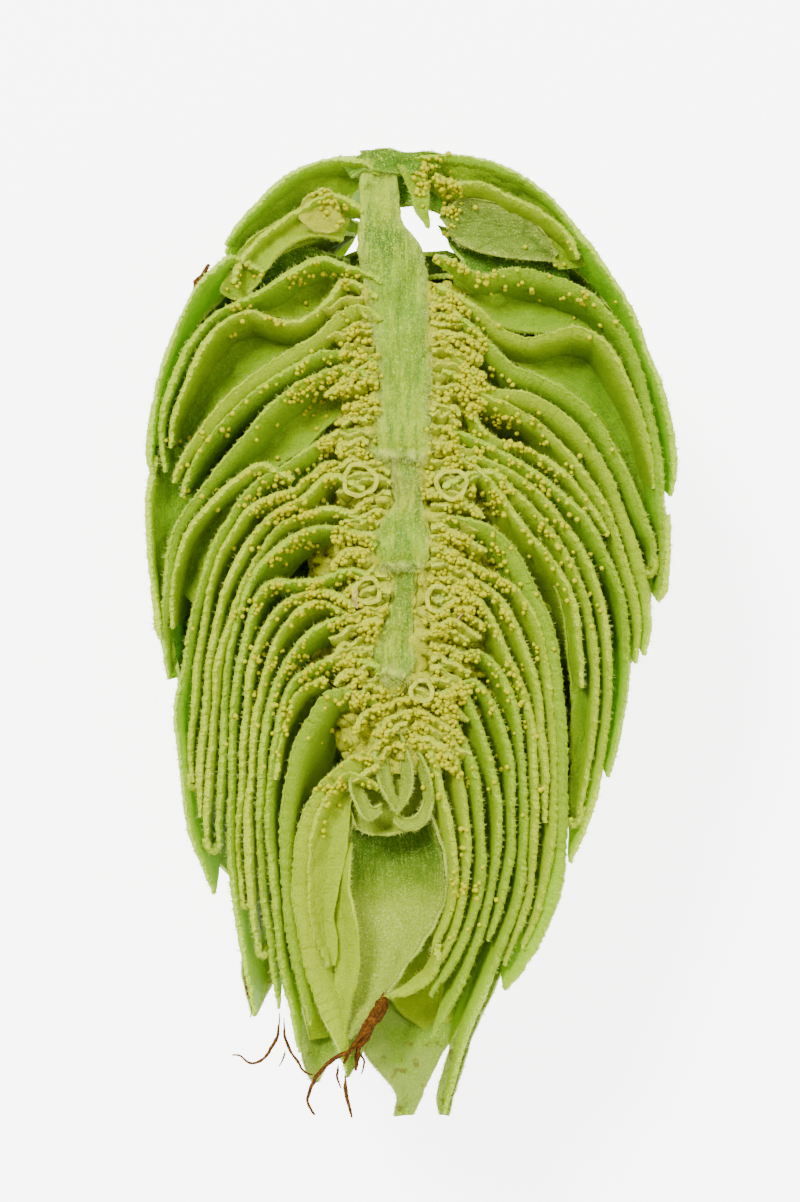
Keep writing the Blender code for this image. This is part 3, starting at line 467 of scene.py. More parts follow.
def wrapped(x, y, turn):
    """Carries points of the cut face round the cone's axis by turn degrees, down behind the face."""
    lean = smooth((TIP_BEND_START - y) / TIP_BEND_LENGTH)
    axis = STRIG_AXIS_X + (TIP_AXIS_X - STRIG_AXIS_X) * lean
    out = np.abs(x - axis)
    side = np.where(x > axis, 1.0, -1.0)
    shift = abs(STRIG_AXIS_X) * (1 - lean) * (1 - np.exp(-out / 3))
    fill = 0.955 + 0.11 * np.exp(-((y + 3) / 5) ** 2)
    angle = np.radians(turn)
    return np.stack([axis + side * out * np.cos(angle), y + 0 * angle,
                     CUT_HEIGHT - (out - side * shift) * fill * np.sin(angle)], axis=-1)


def leaf_width(t):
    base = 0.55 + 0.45 * np.sin(math.pi / 2 * np.minimum(t / 0.5, 1.0))
    narrowing = np.maximum(t - 0.6, 0) / 0.4
    return np.maximum(base * np.cos(math.pi / 2 * narrowing) ** 0.8, 0.03)


def sheet_normals(points):
    along = np.gradient(points, axis=0)
    across = np.gradient(points, axis=1)
    normals = np.cross(along, across)
    return normals / np.maximum(np.linalg.norm(normals, axis=-1, keepdims=True), 1e-9)


def thick_sheet(name, points, thickness, tags):
    """Closes a sheet of points into a leaf of the given thickness, with a rounded rim at each edge."""
    normals = sheet_normals(points)
    half = normals * (thickness / 2)[..., None]
    rows, columns = points.shape[:2]
    skins = np.stack([points + half, points - half])
    count = rows * columns
    index = np.arange(2 * count).reshape(2, rows, columns)
    faces = []
    for layer, flip in ((0, False), (1, True)):
        grid = index[layer]
        for i in range(rows - 1):
            for j in range(columns - 1):
                face = (grid[i, j], grid[i + 1, j], grid[i + 1, j + 1], grid[i, j + 1])
                faces.append(face[::-1] if flip else face)
    border = ([(i, 0) for i in range(rows)] + [(rows - 1, j) for j in range(1, columns)]
              + [(i, columns - 1) for i in range(rows - 2, -1, -1)]
              + [(0, j) for j in range(columns - 2, 0, -1)])
    middle_row = []
    extra = []
    for i, j in border:
        inward = points[min(max(i, 1), rows - 2), min(max(j, 1), columns - 2)] - points[i, j]
        outward = -inward / max(np.linalg.norm(inward), 1e-9)
        extra.append(points[i, j] + outward * thickness[i, j] * 0.08)
        middle_row.append(2 * count + len(middle_row))
    for a, (i, j) in enumerate(border):
        b = (a + 1) % len(border)
        k, m = border[b]
        faces.append((index[0, k, m], middle_row[b], middle_row[a], index[0, i, j]))
        faces.append((middle_row[b], index[1, k, m], index[1, i, j], middle_row[a]))
    everything = np.vstack([skins.reshape(-1, 3), np.array(extra)])
    spread = {}
    for key, values in tags.items():
        at_border = np.array([values[i, j] for i, j in border])
        spread[key] = np.concatenate([values.ravel(), values.ravel(), at_border])
    made = solid_mesh(name, everything, [tuple(int(v) for v in face) for face in faces], spread,
                      2 * len(border))
    leaf_faces.append((name, points, normals, thickness, tags))
    return made


def edge_inward(line, sign):
    """The direction from a cut edge towards the leaf's hollow side, at each of its points."""
    run = np.gradient(line[:, :2], axis=0)
    run /= np.maximum(np.linalg.norm(run, axis=1, keepdims=True), 1e-9)
    return np.stack([sign * run[:, 1], -sign * run[:, 0]], axis=1), run


def cut_leaf(name, sign, reach, lip, edge, seed, backset=True):
    """One cut leaf: its edge line, a lip of the given width, then the sheet wrapping behind."""
    start = list(edge)
    if backset and edge[0][0] > 1.6:
        x0, y0 = edge[0]
        start = [(max(x0 - dx, BASE_NEAREST), y0 + dy) for dx, dy in BASE_BACKSET] + start
    length = sum(math.dist(a, b) for a, b in zip(start, start[1:]))
    steps = max(int(length / LEAF_LENGTH_STEP), 24)
    line = curve_points(start, steps)
    line[:, 0] *= sign
    t = np.linspace(0, 1, steps + 1)
    v = np.linspace(0, 1, LEAF_CROSS_ROWS + 1) ** 1.8
    turn = v[None, :] * (reach * leaf_width(t))[:, None]
    points = wrapped(line[:, 0:1] + 0 * turn, line[:, 1:2] + 0 * turn, turn)
    inward, run = edge_inward(line, sign)
    depth = CUT_HEIGHT - points[..., 2]
    fade = np.minimum(1.0, 4 * np.minimum(t, 1 - t) + 0.25)
    bent = 1 - np.exp(-depth / LIP_DEPTH)
    far = 1 - np.exp(-depth / LEAN_DEPTH)
    down = np.abs(inward[:, 1])
    slide = lip * fade[:, None] * bent + (LEAN_IN + LEAN_DOWN * down ** 2)[:, None] * far
    points[..., 0] += inward[:, 0:1] * slide
    points[..., 1] += inward[:, 1:2] * slide
    wave = LEAF_WAVE * rough(points, 2.0, seed) + LEAF_RIPPLE * rough(points, 0.45, seed + 9)
    points[..., 0] += inward[:, 0:1] * wave
    points[..., 1] += inward[:, 1:2] * wave
    jag = rough(points[:, 0], 0.16, seed + 4)
    low = rough(points[:, 0], 2.2, seed + 2)
    at_edge = np.exp(-depth / 0.3)
    points[..., 2] += at_edge * (EDGE_JAG * jag + EDGE_SWELL * low - EDGE_DROP)[:, None]
    fray = np.exp(-depth / 0.12) * (EDGE_FRAY * rough(points[:, 0], 0.11, seed + 5))[:, None]
    points[..., 0] += inward[:, 0:1] * fray
    points[..., 1] += inward[:, 1:2] * fray
    thin = LEAF_THICKNESS + (EDGE_THICKNESS - LEAF_THICKNESS) * np.exp(-depth / 0.35)
    thin *= (0.95 + 0.16 * rough(points[:, 0], 1.6, seed + 6))[:, None]
    thin *= (0.45 + 0.55 * np.minimum(1, 9 * (1 - t)))[:, None]
    tags = {"rim": np.exp(-(depth / (0.11 + 0.5 * lip)) ** 1.5), "depth": depth,
            "span": np.radians(turn) * np.maximum(np.abs(line[:, 0:1] - STRIG_AXIS_X), 1.0),
            "along": np.repeat(t[:, None] * length, v.size, axis=1)}
    return thick_sheet(name, points, thin, tags)


FUZZ_PALE = (0.68, 0.80, 0.16)


def part_way(a, b, share):
    return tuple(share * x + (1 - share) * y for x, y in zip(a, b))


def leaf_look(name, pale, face, shade_green, glow=0.3, veins=0.5, fuzz=0.5, blanch=0.7, marks=None):
    """Leaf tissue: a pale crumbly cut edge, a bright face that is yellower near the strig, and painted
    shade that turns the face dark green with depth below the cut. A marks function may draw on its
    colour."""
    look = Finish(name)
    fine = look.place()
    depth = look.tag("depth")
    rim = look.tag("rim")
    spot = look.node("ShaderNodeSeparateXYZ")
    look.join(fine, spot.inputs["Vector"])
    far = look.maths("ABSOLUTE", look.maths("ADD", spot.outputs["X"], 0.7))
    low = look.maths("MAXIMUM", look.maths("MULTIPLY_ADD", spot.outputs["Y"], -0.22, -0.4), 0.0)
    far = look.maths("MAXIMUM", look.maths("SUBTRACT", far, low), 0.0)
    far = look.maths("MULTIPLY_ADD", look.grain(fine, 2.2, 2.0), 2.4, look.maths("ADD", far, -1.2))
    young = look.ramp(look.maths("MULTIPLY", far, 0.1), [(0.20, blanch), (0.78, 0.0)])
    broad = look.grain(fine, 1.4, 3.0)
    # Painted shade: the face darkens towards the shade green the further it lies below the cut, in broad
    # random patches.
    shade = look.maths("MULTIPLY_ADD", depth, 0.34, -0.10)
    shade = look.maths("ADD", shade, look.maths("MULTIPLY_ADD", broad, 0.9, -0.45))
    colour = look.blend(look.ramp(shade, [(0.0, 0.0), (1.0, 1.0)]), face, shade_green)
    colour = look.blend(young, colour, part_way(pale, face, 0.75))
    lines = look.node("ShaderNodeCombineXYZ")
    look.join(look.maths("MULTIPLY", look.tag("along"), 0.12), lines.inputs["X"])
    look.join(look.tag("span"), lines.inputs["Y"])
    vein = look.grain(lines.outputs["Vector"], 0.11, 2.0)
    colour = look.blend(look.ramp(vein, [(0.48, 0.0), (0.66, veins)]), colour, part_way(pale, face, 0.5))
    mottle = look.grain(fine, 0.35, 3.0)
    rim = look.maths("MULTIPLY", rim, look.maths("MULTIPLY_ADD", mottle, 1.0, 0.2))
    colour = look.blend(look.ramp(rim, [(0.12, 0.0), (0.7, 0.8)]), colour, part_way(pale, face, 0.75))
    # On the cut faces the raised crumbs are painted pale: partly the cut tissue's own pale colour, partly
    # a painted highlight. The pits between the crumbs get painted shade.
    crumbs = look.grain(fine, 0.085, 3.0, 0.7)
    cut = look.maths("MULTIPLY", look.tag("cut"), look.ramp(crumbs, [(0.34, 0.35), (0.56, 1.0)]))
    colour = look.blend(cut, colour, tuple(min(1.25 * part, 0.85) for part in pale))
    colour = look.blend(look.ramp(crumbs, [(0.32, 0.5), (0.5, 0.0)]), colour, shade_green)
    hair = look.ramp(look.grain(fine, 0.06, 2.0, 0.6), [(0.56, 0.0), (0.67, fuzz)])
    hair = look.maths("MULTIPLY", hair, look.maths("MULTIPLY_ADD", look.maths("ADD", rim, cut), 0.9, 0.5))
    colour = look.blend(hair, colour, FUZZ_PALE)
    look.bump(crumbs, 0.11, 1.0)
    marked = marks(look, colour) if marks else colour
    moist = look.ramp(mottle, [(0.3, 0.30), (0.7, 0.6)])
    return look.surface(marked, moist, 0.18, 0.0, glow, glow_colour=colour)


bract_look = leaf_look("bract_leaf_green", (0.45, 0.60, 0.003), (0.21, 0.42, 0.0), (0.11, 0.29, 0.0),
                       0.45)
bracteole_look = leaf_look("bracteole_leaf_pale", (0.56, 0.66, 0.005), (0.29, 0.48, 0.0),
                           (0.15, 0.34, 0.0), 0.45)
for side, sign, leaves in (("left", -1, LEFT_LEAVES), ("right", 1, RIGHT_LEAVES)):
    counts = {"bract": 0, "bracteole": 0}
    for kind, reach, lip, edge in leaves:
        counts[kind] += 1
        node = f"{kind}_{side}_{counts[kind]:02d}"
        leaf = cut_leaf(node + "_leaf", sign, reach, lip, edge, seed=len(leaf_faces) * 3.7)
        leaf.data.materials.append(bract_look if kind == "bract" else bracteole_look)
        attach(leaf, "root")
        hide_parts(node)


# ---------------------------------------------------------------- short leaves between the others
# Smaller bracteoles and folded leaf ends that lie between the long ones: some stop half way, some
# turn back on themselves in a narrow U where a cup was cut through near its bottom.
# Each is its side, reach in degrees, lip, and the edge's course, like the long ones.
SHORT_LEAVES = [
    (-1, 30, 0.10, [(3.2, -1.6), (4.0, -1.95), (4.55, -2.7), (4.85, -3.6), (4.98, -4.6), (5.05, -5.4)]),
    (1, 34, 0.16, [(2.3, 8.5), (2.6, 7.8), (3.2, 7.25), (4.1, 7.0), (5.0, 6.55), (5.8, 5.9), (6.45, 5.15),
                   (6.95, 4.4), (7.35, 3.7)]),
    (1, 12, 0.05, [(9.5, 4.4), (9.55, 3.4), (9.5, 2.3), (9.4, 1.6), (9.15, 1.2)]),
    (1, 20, 0.10, [(1.05, -11.5), (1.1, -12.1), (0.8, -12.8), (0.2, -13.25), (-0.6, -13.45),
                   (-1.0, -13.5)]),
    (-1, 16, 0.08, [(9.55, 6.6), (9.72, 5.4), (9.75, 4.2), (9.7, 3.0), (9.6, 1.7), (9.42, 0.5),
                    (9.3, -0.2)]),
    (-1, 10, 0.03, [(8.25, -5.2), (8.2, -5.6), (8.05, -5.75), (7.93, -5.55)]),
    (-1, 10, 0.03, [(7.55, -7.6), (7.48, -7.95), (7.33, -8.1), (7.17, -7.95)]),
    (-1, 10, 0.03, [(6.3, -9.7), (6.27, -10.05), (6.14, -10.2), (6.03, -10.0)]),
    (-1, 10, 0.03, [(5.7, -11.5), (5.62, -11.9), (5.45, -12.0), (5.35, -11.8)]),
    (1, 10, 0.03, [(9.1, 2.9), (9.05, 2.35), (8.85, 2.15), (8.7, 2.4)]),
    (1, 10, 0.03, [(6.35, -6.4), (6.25, -6.95), (6.05, -7.1), (5.95, -6.8)]),
]
for count, (sign, reach, lip, edge) in enumerate(SHORT_LEAVES, 1):
    leaf = cut_leaf(f"short_leaf_{count:02d}", sign, reach, lip, edge, 200 + 5.3 * count, backset=False)
    leaf.data.materials.append(bracteole_look)
    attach(leaf, "root")


# ---------------------------------------------------------------- back bracts
# Whole green bracts that close the round back of the cone. They overlap like roof tiles, with
# fine ribs running to a blunt point, and the lowest is pressed flat where the cone lies on it.

# Each leaf is its name, the direction of its midrib round the back and half of its reach, both in
# degrees, and the course of its midrib as (distance from the middle, height).
BACK_LEAVES = [
    ("back_bract_middle_top", 90, 42, [(2.4, 14.35), (3.6, 14.4), (5.0, 14.1), (6.2, 13.45), (7.4, 12.4),
                                       (8.4, 11.0), (9.1, 9.5), (9.5, 8.0), (9.68, 6.4), (9.6, 4.8),
                                       (9.45, 3.6)]),
    ("back_bract_right", 59, 29, [(2.2, 13.4), (3.6, 13.45), (4.8, 13.2), (6.0, 12.75), (6.9, 12.1),
                                  (7.7, 11.2), (8.25, 10.3), (8.7, 9.2), (9.0, 7.8), (9.15, 6.4),
                                  (9.2, 5.0), (9.2, 3.6), (9.2, 2.4), (9.2, 1.4)]),
    ("back_bract_left", 121, 29, [(2.6, 13.3), (3.6, 13.4), (4.8, 12.95), (6.0, 12.35), (7.1, 11.75),
                                  (7.9, 10.9), (8.4, 9.9), (8.8, 8.9), (9.05, 7.6), (9.15, 6.2),
                                  (9.2, 4.8), (9.2, 3.4), (9.2, 2.2), (9.2, 1.1)]),
    ("back_bract_middle_low", 90, 42, [(2.2, 11.4), (3.4, 11.4), (5.0, 10.9), (6.6, 9.9), (7.7, 8.5),
                                       (8.35, 6.9), (8.7, 5.0), (8.85, 3.0), (8.9, 1.0), (8.85, -1.0),
                                       (8.55, -3.0), (8.1, -4.8), (7.6, -6.4)]),
    ("back_bract_tip", 90, 42, [(2.0, 6.4), (3.2, 6.1), (4.8, 5.2), (6.2, 3.8), (7.0, 2.1), (7.5, 0.2),
                                (7.75, -2), (7.7, -4), (7.4, -6), (6.95, -8), (6.5, -9.6),
                                (6.15, -10.9)]),
]
# Six more lie outside those, three down each side.
OUTER_LEAVES = [
    ("outer_bract_right_top", 36, 26, [(3.0, 15.2), (5.0, 14.6), (6.6, 13.5), (7.75, 12.1), (8.5, 10.8),
                                       (9.1, 9.1), (9.5, 7.4), (9.6, 6.0), (9.55, 4.6), (9.4, 3.2)]),
    ("outer_bract_left_top", 144, 26, [(3.0, 15.0), (5.0, 14.3), (6.6, 13.2), (7.85, 11.9), (8.6, 10.6),
                                       (9.15, 9.0), (9.45, 7.4), (9.5, 6.0), (9.4, 4.6), (9.3, 3.4)]),
    ("outer_bract_right_middle", 40, 28, [(6.0, 8.5), (7.6, 7.2), (8.6, 5.4), (9.1, 3.6), (9.2, 1.8),
                                          (9.0, 0.2), (8.6, -1.2), (8.1, -2.6), (7.6, -4.0)]),
    ("outer_bract_left_middle", 140, 28, [(6.0, 8.5), (7.6, 7.2), (8.6, 5.2), (9.1, 3.2), (9.15, 1.2),
                                          (9.05, -0.8), (8.85, -2.6), (8.6, -4.4), (8.3, -6.0)]),
    ("outer_bract_right_tip", 40, 28, [(4.6, 1.6), (6.4, 0.4), (7.4, -1.4), (7.6, -3.2), (7.2, -5.2),
                                       (6.7, -6.8), (6.1, -8.0), (5.5, -9.2)]),
    ("outer_bract_left_tip", 140, 28, [(4.6, 1.0), (6.6, -0.4), (7.6, -2.4), (8.0, -4.6), (8.0, -6.6),
                                       (7.7, -8.4), (7.1, -9.8)]),
]
BACK_LEAF_ROWS = 60
BACK_LEAF_COLUMNS = 40
BACK_LEAF_THICKNESS = 0.16
RIB_COUNT = 7.0               # ribs across half of a leaf
RIB_HEIGHT = 0.035
BACK_LUMPS = 0.05
BACK_GRAIN = 0.02
LOWEST_MIDDLE = 0.08          # a leaf's middle surface, where it lies on the table

back_look = leaf_look("back_bract_green", (0.38, 0.50, 0.02), (0.18, 0.34, 0.0), (0.10, 0.24, 0.0),
                      glow=0.22, veins=0.75)
for count, (name, middle, half_turn, edge) in enumerate(BACK_LEAVES + OUTER_LEAVES, 1):
    line = curve_points(edge, BACK_LEAF_ROWS)
    t = np.linspace(0, 1, BACK_LEAF_ROWS + 1)[:, None]
    across = np.linspace(-1, 1, BACK_LEAF_COLUMNS + 1)[None, :]
    turn = middle + across * half_turn * leaf_width(t)
    side = np.where(turn < 90, 1.0, -1.0)
    middle_x = TIP_AXIS_X * smooth((TIP_BEND_START - line[:, 1:2]) / TIP_BEND_LENGTH)
    points = wrapped(middle_x + side * line[:, 0:1], line[:, 1:2] + 0 * turn,
                     np.minimum(turn, 180 - turn))
    ribs = np.cos(across * RIB_COUNT * math.pi) * (1 - np.abs(across) ** 4) * np.minimum(1, 3 * (1 - t))
    outwards = sheet_normals(points)
    lumps = BACK_LUMPS * rough(points, 1.1, 31.0 * count)
    swell = RIB_HEIGHT * ribs + lumps + BACK_GRAIN * rough(points, 0.3, 12.0 * count)
    points -= outwards * (swell - 0.01)[..., None]
    points[..., 2] = np.maximum(points[..., 2], LOWEST_MIDDLE)
    rim = np.exp(-(1 - np.abs(across)) * 9) + 0 * t
    # The depth tag here sets painted shade: dark all over, darker in the furrows between the ribs, paler
    # towards the margins.
    tags = {"rim": np.maximum(rim * 0.8, np.exp(-(1 - t) * 16) * 0.5),
            "depth": 1.6 + 1.4 * ribs - 1.2 * rim,
            "span": across * 7.0 + 0 * t,
            "along": np.repeat(t * 12.0, BACK_LEAF_COLUMNS + 1, axis=1)}
    leaf = thick_sheet(name + "_leaf", points, np.full(points.shape[:2], BACK_LEAF_THICKNESS), tags)
    corners = np.empty(len(leaf.data.vertices) * 3)
    leaf.data.vertices.foreach_get("co", corners)
    corners[2::3] = np.maximum(corners[2::3], 0.0)
    leaf.data.vertices.foreach_set("co", corners)
    leaf.data.materials.append(back_look)
    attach(leaf, "root")
    if count <= len(BACK_LEAVES):
        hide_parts(name)


# ---------------------------------------------------------------- centre bract
# The pointed leaf round the growing tip: a boat-shaped trough, smooth in its hollow top, which is
# painted dark as shade, and pale and felted with short hairs towards its lower end. It is folded
# along a midrib on its left, where the centre_fold_left leaf among the tip leaves lies.
def leaf_patch(name, left, right, rows, columns, hollow, thickness, seed, ridge=0.0, wave=0.05):
    """A leaf between two edge lines of (x, y, depth), hollowed between them by a share of its width."""
    a = curve_points(left, rows)
    b = curve_points(right, rows)
    share = np.linspace(0, 1, columns + 1)[None, :, None]
    points = a[:, None] * (1 - share) + b[:, None] * share
    width = np.linalg.norm(b - a, axis=1)[:, None]
    arch = (4 * share * (1 - share))[..., 0]
    fold = 1 - np.abs(2 * share[..., 0] - 1)
    points[..., 2] += width * (hollow * arch + ridge * fold)
    points[..., 2] = CUT_HEIGHT - points[..., 2]
    bumps = wave * rough(points, 0.9, seed) + 0.4 * wave * rough(points, 0.3, seed + 5)
    points[..., 2] += bumps
    points[..., 0] += 0.5 * wave * rough(points, 0.5, seed + 8)
    edge = np.minimum(share[..., 0], 1 - share[..., 0])
    run = np.concatenate([[0], np.cumsum(np.linalg.norm(np.diff(a, axis=0), axis=1))])
    tags = {"rim": np.exp(-edge * width / 0.22), "depth": CUT_HEIGHT - points[..., 2],
            "span": share[..., 0] * width.max() + 0 * points[..., 0],
            "along": run[:, None] + 0 * points[..., 0]}
    thick = np.full(points.shape[:2], thickness)
    return thick_sheet(name, points, thick, tags)


CENTRE_LEFT = [(-2.15, -6.7, 0.7), (-2.35, -7.8, 0.8), (-2.4, -9.0, 0.8), (-2.45, -10.4, 0.7),
               (-2.5, -11.8, 0.55), (-2.45, -13.2, 0.4), (-2.4, -14.2, 0.3), (-2.4, -15.0, 0.25)]
CENTRE_RIGHT = [(0.7, -6.6, 0.5), (1.15, -7.8, 0.45), (1.35, -8.9, 0.4), (1.2, -10.0, 0.3),
                (0.6, -11.2, 0.2), (-0.3, -12.5, 0.15), (-1.2, -13.8, 0.15), (-2.25, -15.0, 0.2)]

centre_look = leaf_look("centre_bract_felt", (0.40, 0.50, 0.05), (0.26, 0.37, 0.004), (0.06, 0.15, 0.0),
                        glow=0.25, veins=0.35, fuzz=0.8, blanch=0.0)
centre = leaf_patch("centre_bract_leaf", CENTRE_LEFT, CENTRE_RIGHT, 90, 44, 0.40, 0.13, 61.0, wave=0.09)
shade_tag = centre.data.attributes["depth"]
rim_tag = centre.data.attributes["rim"]
# The depth tag is rewritten as painted shade: dark in the hollow top and towards the left side. Away from
# that top the rim tag paints the pale felt lower down.
for vert, shade, rim in zip(centre.data.vertices, shade_tag.data, rim_tag.data):
    x, y = vert.co.x / MM, vert.co.y / MM
    shaded_top = float(smooth((y + 10.6) / 3.2))
    shade.value = 0.4 + 3.4 * shaded_top + 0.5 * float(smooth((x + 1.3) / -1.2))
    rim.value = max(rim.value * 0.7, 0.75 * (1 - shaded_top) * float(smooth((-y - 8.4) / 2.5)))
centre.data.materials.append(centre_look)
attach(centre, "root")
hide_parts("centre_bract")


# ---------------------------------------------------------------- tip bracts
# Leaves whose points show past the cut ones at the narrow end, and the inner faces beside the
# centre bract. The outer ones are green, bleached with age in patches and marked with brown spots.
BLEACHED = (0.27, 0.33, 0.06)
BROWN_SPOT = (0.13, 0.09, 0.008)


def age_marks(look, colour):
    """Bleached patches and brown spots."""
    where = look.place()
    patches = look.ramp(look.grain(where, 1.7, 2.0), [(0.44, 0.0), (0.56, 0.5)])
    spots = look.ramp(look.grain(where, 0.5, 3.0), [(0.59, 0.0), (0.66, 0.8)])
    return look.blend(spots, look.blend(patches, colour, BLEACHED), BROWN_SPOT)


tip_look = leaf_look("tip_bract_grey_green", (0.36, 0.44, 0.05), (0.19, 0.33, 0.002), (0.12, 0.25, 0.0),
                     glow=0.25, veins=0.5, fuzz=0.7, blanch=0.2, marks=age_marks)
INNER_LEAVES = {"inner_leaf_low_left", "inner_leaf_low_right", "centre_fold_left", "broad_blade_left"}

# Each is its name, the node that it stands for, and its left and right edges as (x, height, depth).
TIP_LEAVES = [
    ("tip_bract_right", "tip_bract_right",
     [(0.3, -9.8, 4.2), (-0.6, -12.0, 2.9), (-1.1, -13.6, 2.0), (-1.75, -14.8, 1.4), (-1.75, -15.6, 1.1),
      (-1.05, -16.5, 0.9), (-0.55, -17.2, 0.8), (-0.62, -18.0, 0.8)],
     [(2.4, -9.8, 4.2), (2.3, -12.0, 2.9), (2.0, -13.6, 2.0), (1.7, -14.8, 1.5), (1.15, -15.8, 1.15),
      (0.6, -16.8, 0.95), (0.35, -17.4, 0.85), (0.1, -17.95, 0.85)]),
    ("tip_bract_left", "tip_bract_left",
     [(-3.2, -9.8, 4.2), (-3.6, -12.0, 2.9), (-4.0, -13.6, 2.1), (-4.15, -14.8, 1.6), (-4.1, -15.6, 1.3),
      (-3.95, -16.3, 1.1), (-3.6, -16.8, 1.0)],
     [(-1.8, -9.8, 4.2), (-1.8, -12.0, 2.9), (-2.0, -13.6, 2.1), (-2.1, -14.8, 1.7), (-2.6, -15.6, 1.4),
      (-3.15, -16.2, 1.2), (-3.4, -16.75, 1.05)]),
    ("tip_leaf_middle", None,
     [(-3.3, -13.6, 1.5), (-3.1, -14.6, 1.1), (-2.75, -15.4, 0.9), (-2.5, -16.0, 0.8),
      (-2.4, -16.55, 0.75)],
     [(-1.9, -13.6, 1.5), (-1.7, -14.6, 1.1), (-1.75, -15.4, 0.9), (-2.0, -16.0, 0.8),
      (-2.3, -16.5, 0.75)]),
    ("inner_leaf_low_left", None,
     [(-4.4, -7.4, 1.6), (-4.6, -9.5, 1.5), (-4.5, -11.6, 1.4), (-4.2, -13.4, 1.3), (-3.8, -15.2, 1.2)],
     [(-1.8, -7.4, 2.2), (-1.8, -9.5, 2.2), (-1.8, -11.6, 2.0), (-1.9, -13.4, 1.7), (-2.2, -15.0, 1.4)]),
    ("inner_leaf_low_right", None,
     [(0.4, -7.4, 2.2), (0.2, -9.5, 2.0), (-0.3, -11.4, 1.7), (-0.9, -13.0, 1.6), (-0.6, -14.0, 1.7),
      (0.5, -14.9, 1.8)],
     [(3.4, -7.4, 1.6), (3.3, -9.5, 1.5), (3.0, -11.4, 1.4), (2.5, -13.0, 1.4), (1.7, -14.4, 1.6),
      (0.7, -15.0, 1.8)]),
    ("centre_fold_left", None,
     [(-2.75, -7.6, 0.9), (-2.85, -9.2, 0.9), (-2.9, -10.8, 0.8), (-2.85, -12.4, 0.6),
      (-2.75, -13.8, 0.4), (-2.55, -14.9, 0.3)],
     [(-2.2, -7.8, 0.7), (-2.3, -9.4, 0.25), (-2.0, -10.9, 0.15), (-1.95, -12.3, 0.12),
      (-2.2, -13.6, 0.15), (-2.45, -14.8, 0.25)]),
    ("broad_blade_left", None,
     [(-2.3, -4.6, 0.25), (-3.0, -5.7, 0.2), (-3.5, -7.0, 0.12), (-3.72, -8.4, 0.1), (-3.72, -9.8, 0.1),
      (-3.65, -11.0, 0.15), (-3.5, -11.9, 0.2), (-3.15, -12.45, 0.3)],
     [(-2.0, -4.7, 0.7), (-2.15, -5.8, 0.7), (-2.3, -7.0, 0.6), (-2.4, -8.2, 0.6), (-2.7, -9.4, 0.55),
      (-2.85, -10.4, 0.5), (-2.72, -11.5, 0.45), (-2.8, -12.3, 0.4)]),
    ("tip_leaf_far_left", None,
     [(-6.3, -11.4, 2.2), (-6.35, -12.6, 1.9), (-6.2, -13.6, 1.6), (-5.95, -14.3, 1.4)],
     [(-4.8, -11.6, 2.2), (-5.0, -12.8, 1.9), (-5.4, -13.5, 1.6), (-5.8, -14.25, 1.4)]),
    ("tip_leaf_right_strip", None,
     [(2.6, -12.6, 1.2), (2.1, -14.0, 0.9), (1.55, -15.2, 0.6), (1.15, -16.4, 0.4), (0.95, -17.2, 0.3),
      (1.05, -17.85, 0.3)],
     [(3.6, -12.2, 1.2), (2.95, -13.6, 0.9), (2.3, -15.0, 0.6), (1.9, -16.2, 0.4), (1.65, -17.0, 0.3),
      (1.4, -17.9, 0.3)]),
]
for count, (name, node, left, right) in enumerate(TIP_LEAVES, 1):
    seed = 70.0 + 7 * count
    leaf = leaf_patch(name + "_leaf", left, right, 60, 22, 0.0, 0.13, seed, ridge=0.16, wave=0.06)
    leaf.data.materials.append(bracteole_look if name in INNER_LEAVES else tip_look)
    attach(leaf, "root")
    if node:
        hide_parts(node)


# ---------------------------------------------------------------- perianth cups and seeds
# Thin cups beside the strig, each of which holds one small unripe seed. The knife opened them, so
# their walls show as crinkled rings, creamy green and half buried in glands.
CUPS = [                      # node, middle and radius
    ("perianth_left_upper", (-1.9, 5.7), 0.7),
    ("perianth_left_lower", (-1.62, 1.6), 0.58),
    ("perianth_right_upper", (1.5, 5.55), 0.65),
    ("perianth_right_lower", (1.05, 1.3), 0.58),
    ("perianth_tip", (0.4, -2.1), 0.5),
]
CUP_WALL = 0.2
CUP_DEPTH = 0.85              # of its radius
CUP_CURL = 1.42               # radians that its wall turns inwards at the bottom
cup_look = leaf_look("perianth_cream_green", (0.50, 0.52, 0.02), (0.38, 0.42, 0.006), (0.25, 0.30, 0.001),
                     glow=0.3, veins=0.4)
for count, (node, (x, y), radius) in enumerate(CUPS, 1):
    around = np.linspace(0, 2 * math.pi, 61)[:, None]
    down = np.linspace(0, 1, 15)[None, :]
    reach = radius * (1 - CUP_WALL / radius / 2) * np.cos(down * CUP_CURL) ** 0.7
    crinkle = 1 + (0.07 * np.sin(3 * around + 2 * count) + 0.03 * np.sin(7 * around)) * (1 - down)
    points = np.stack([x + reach * crinkle * np.cos(around), y + reach * crinkle * 0.95 * np.sin(around),
                       CUT_HEIGHT - radius * CUP_DEPTH * np.sin(down * CUP_CURL) + 0 * around], axis=-1)
    points[..., 2] += (0.06 * np.sin(3 * around + 2 * count) + 0.10) * (1 - down)
    depth = CUT_HEIGHT - points[..., 2]
    points[-1] = points[0]
    # Depth is doubled in the depth tag, so the painted shade darkens each cup quickly inwards.
    cup = thick_sheet(node + "_cup", points, np.full(points.shape[:2], CUP_WALL * 0.8),
                      {"rim": np.exp(-depth / 0.15), "depth": depth * 2, "span": depth,
                       "along": around * 2 + 0 * down})
    cup.data.materials.append(cup_look)
    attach(cup, "root")
    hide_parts(node)

SEED_SUNK = 0.45              # how far a seed's middle lies below the cut
SEED_HALF_THICKNESS = 0.36
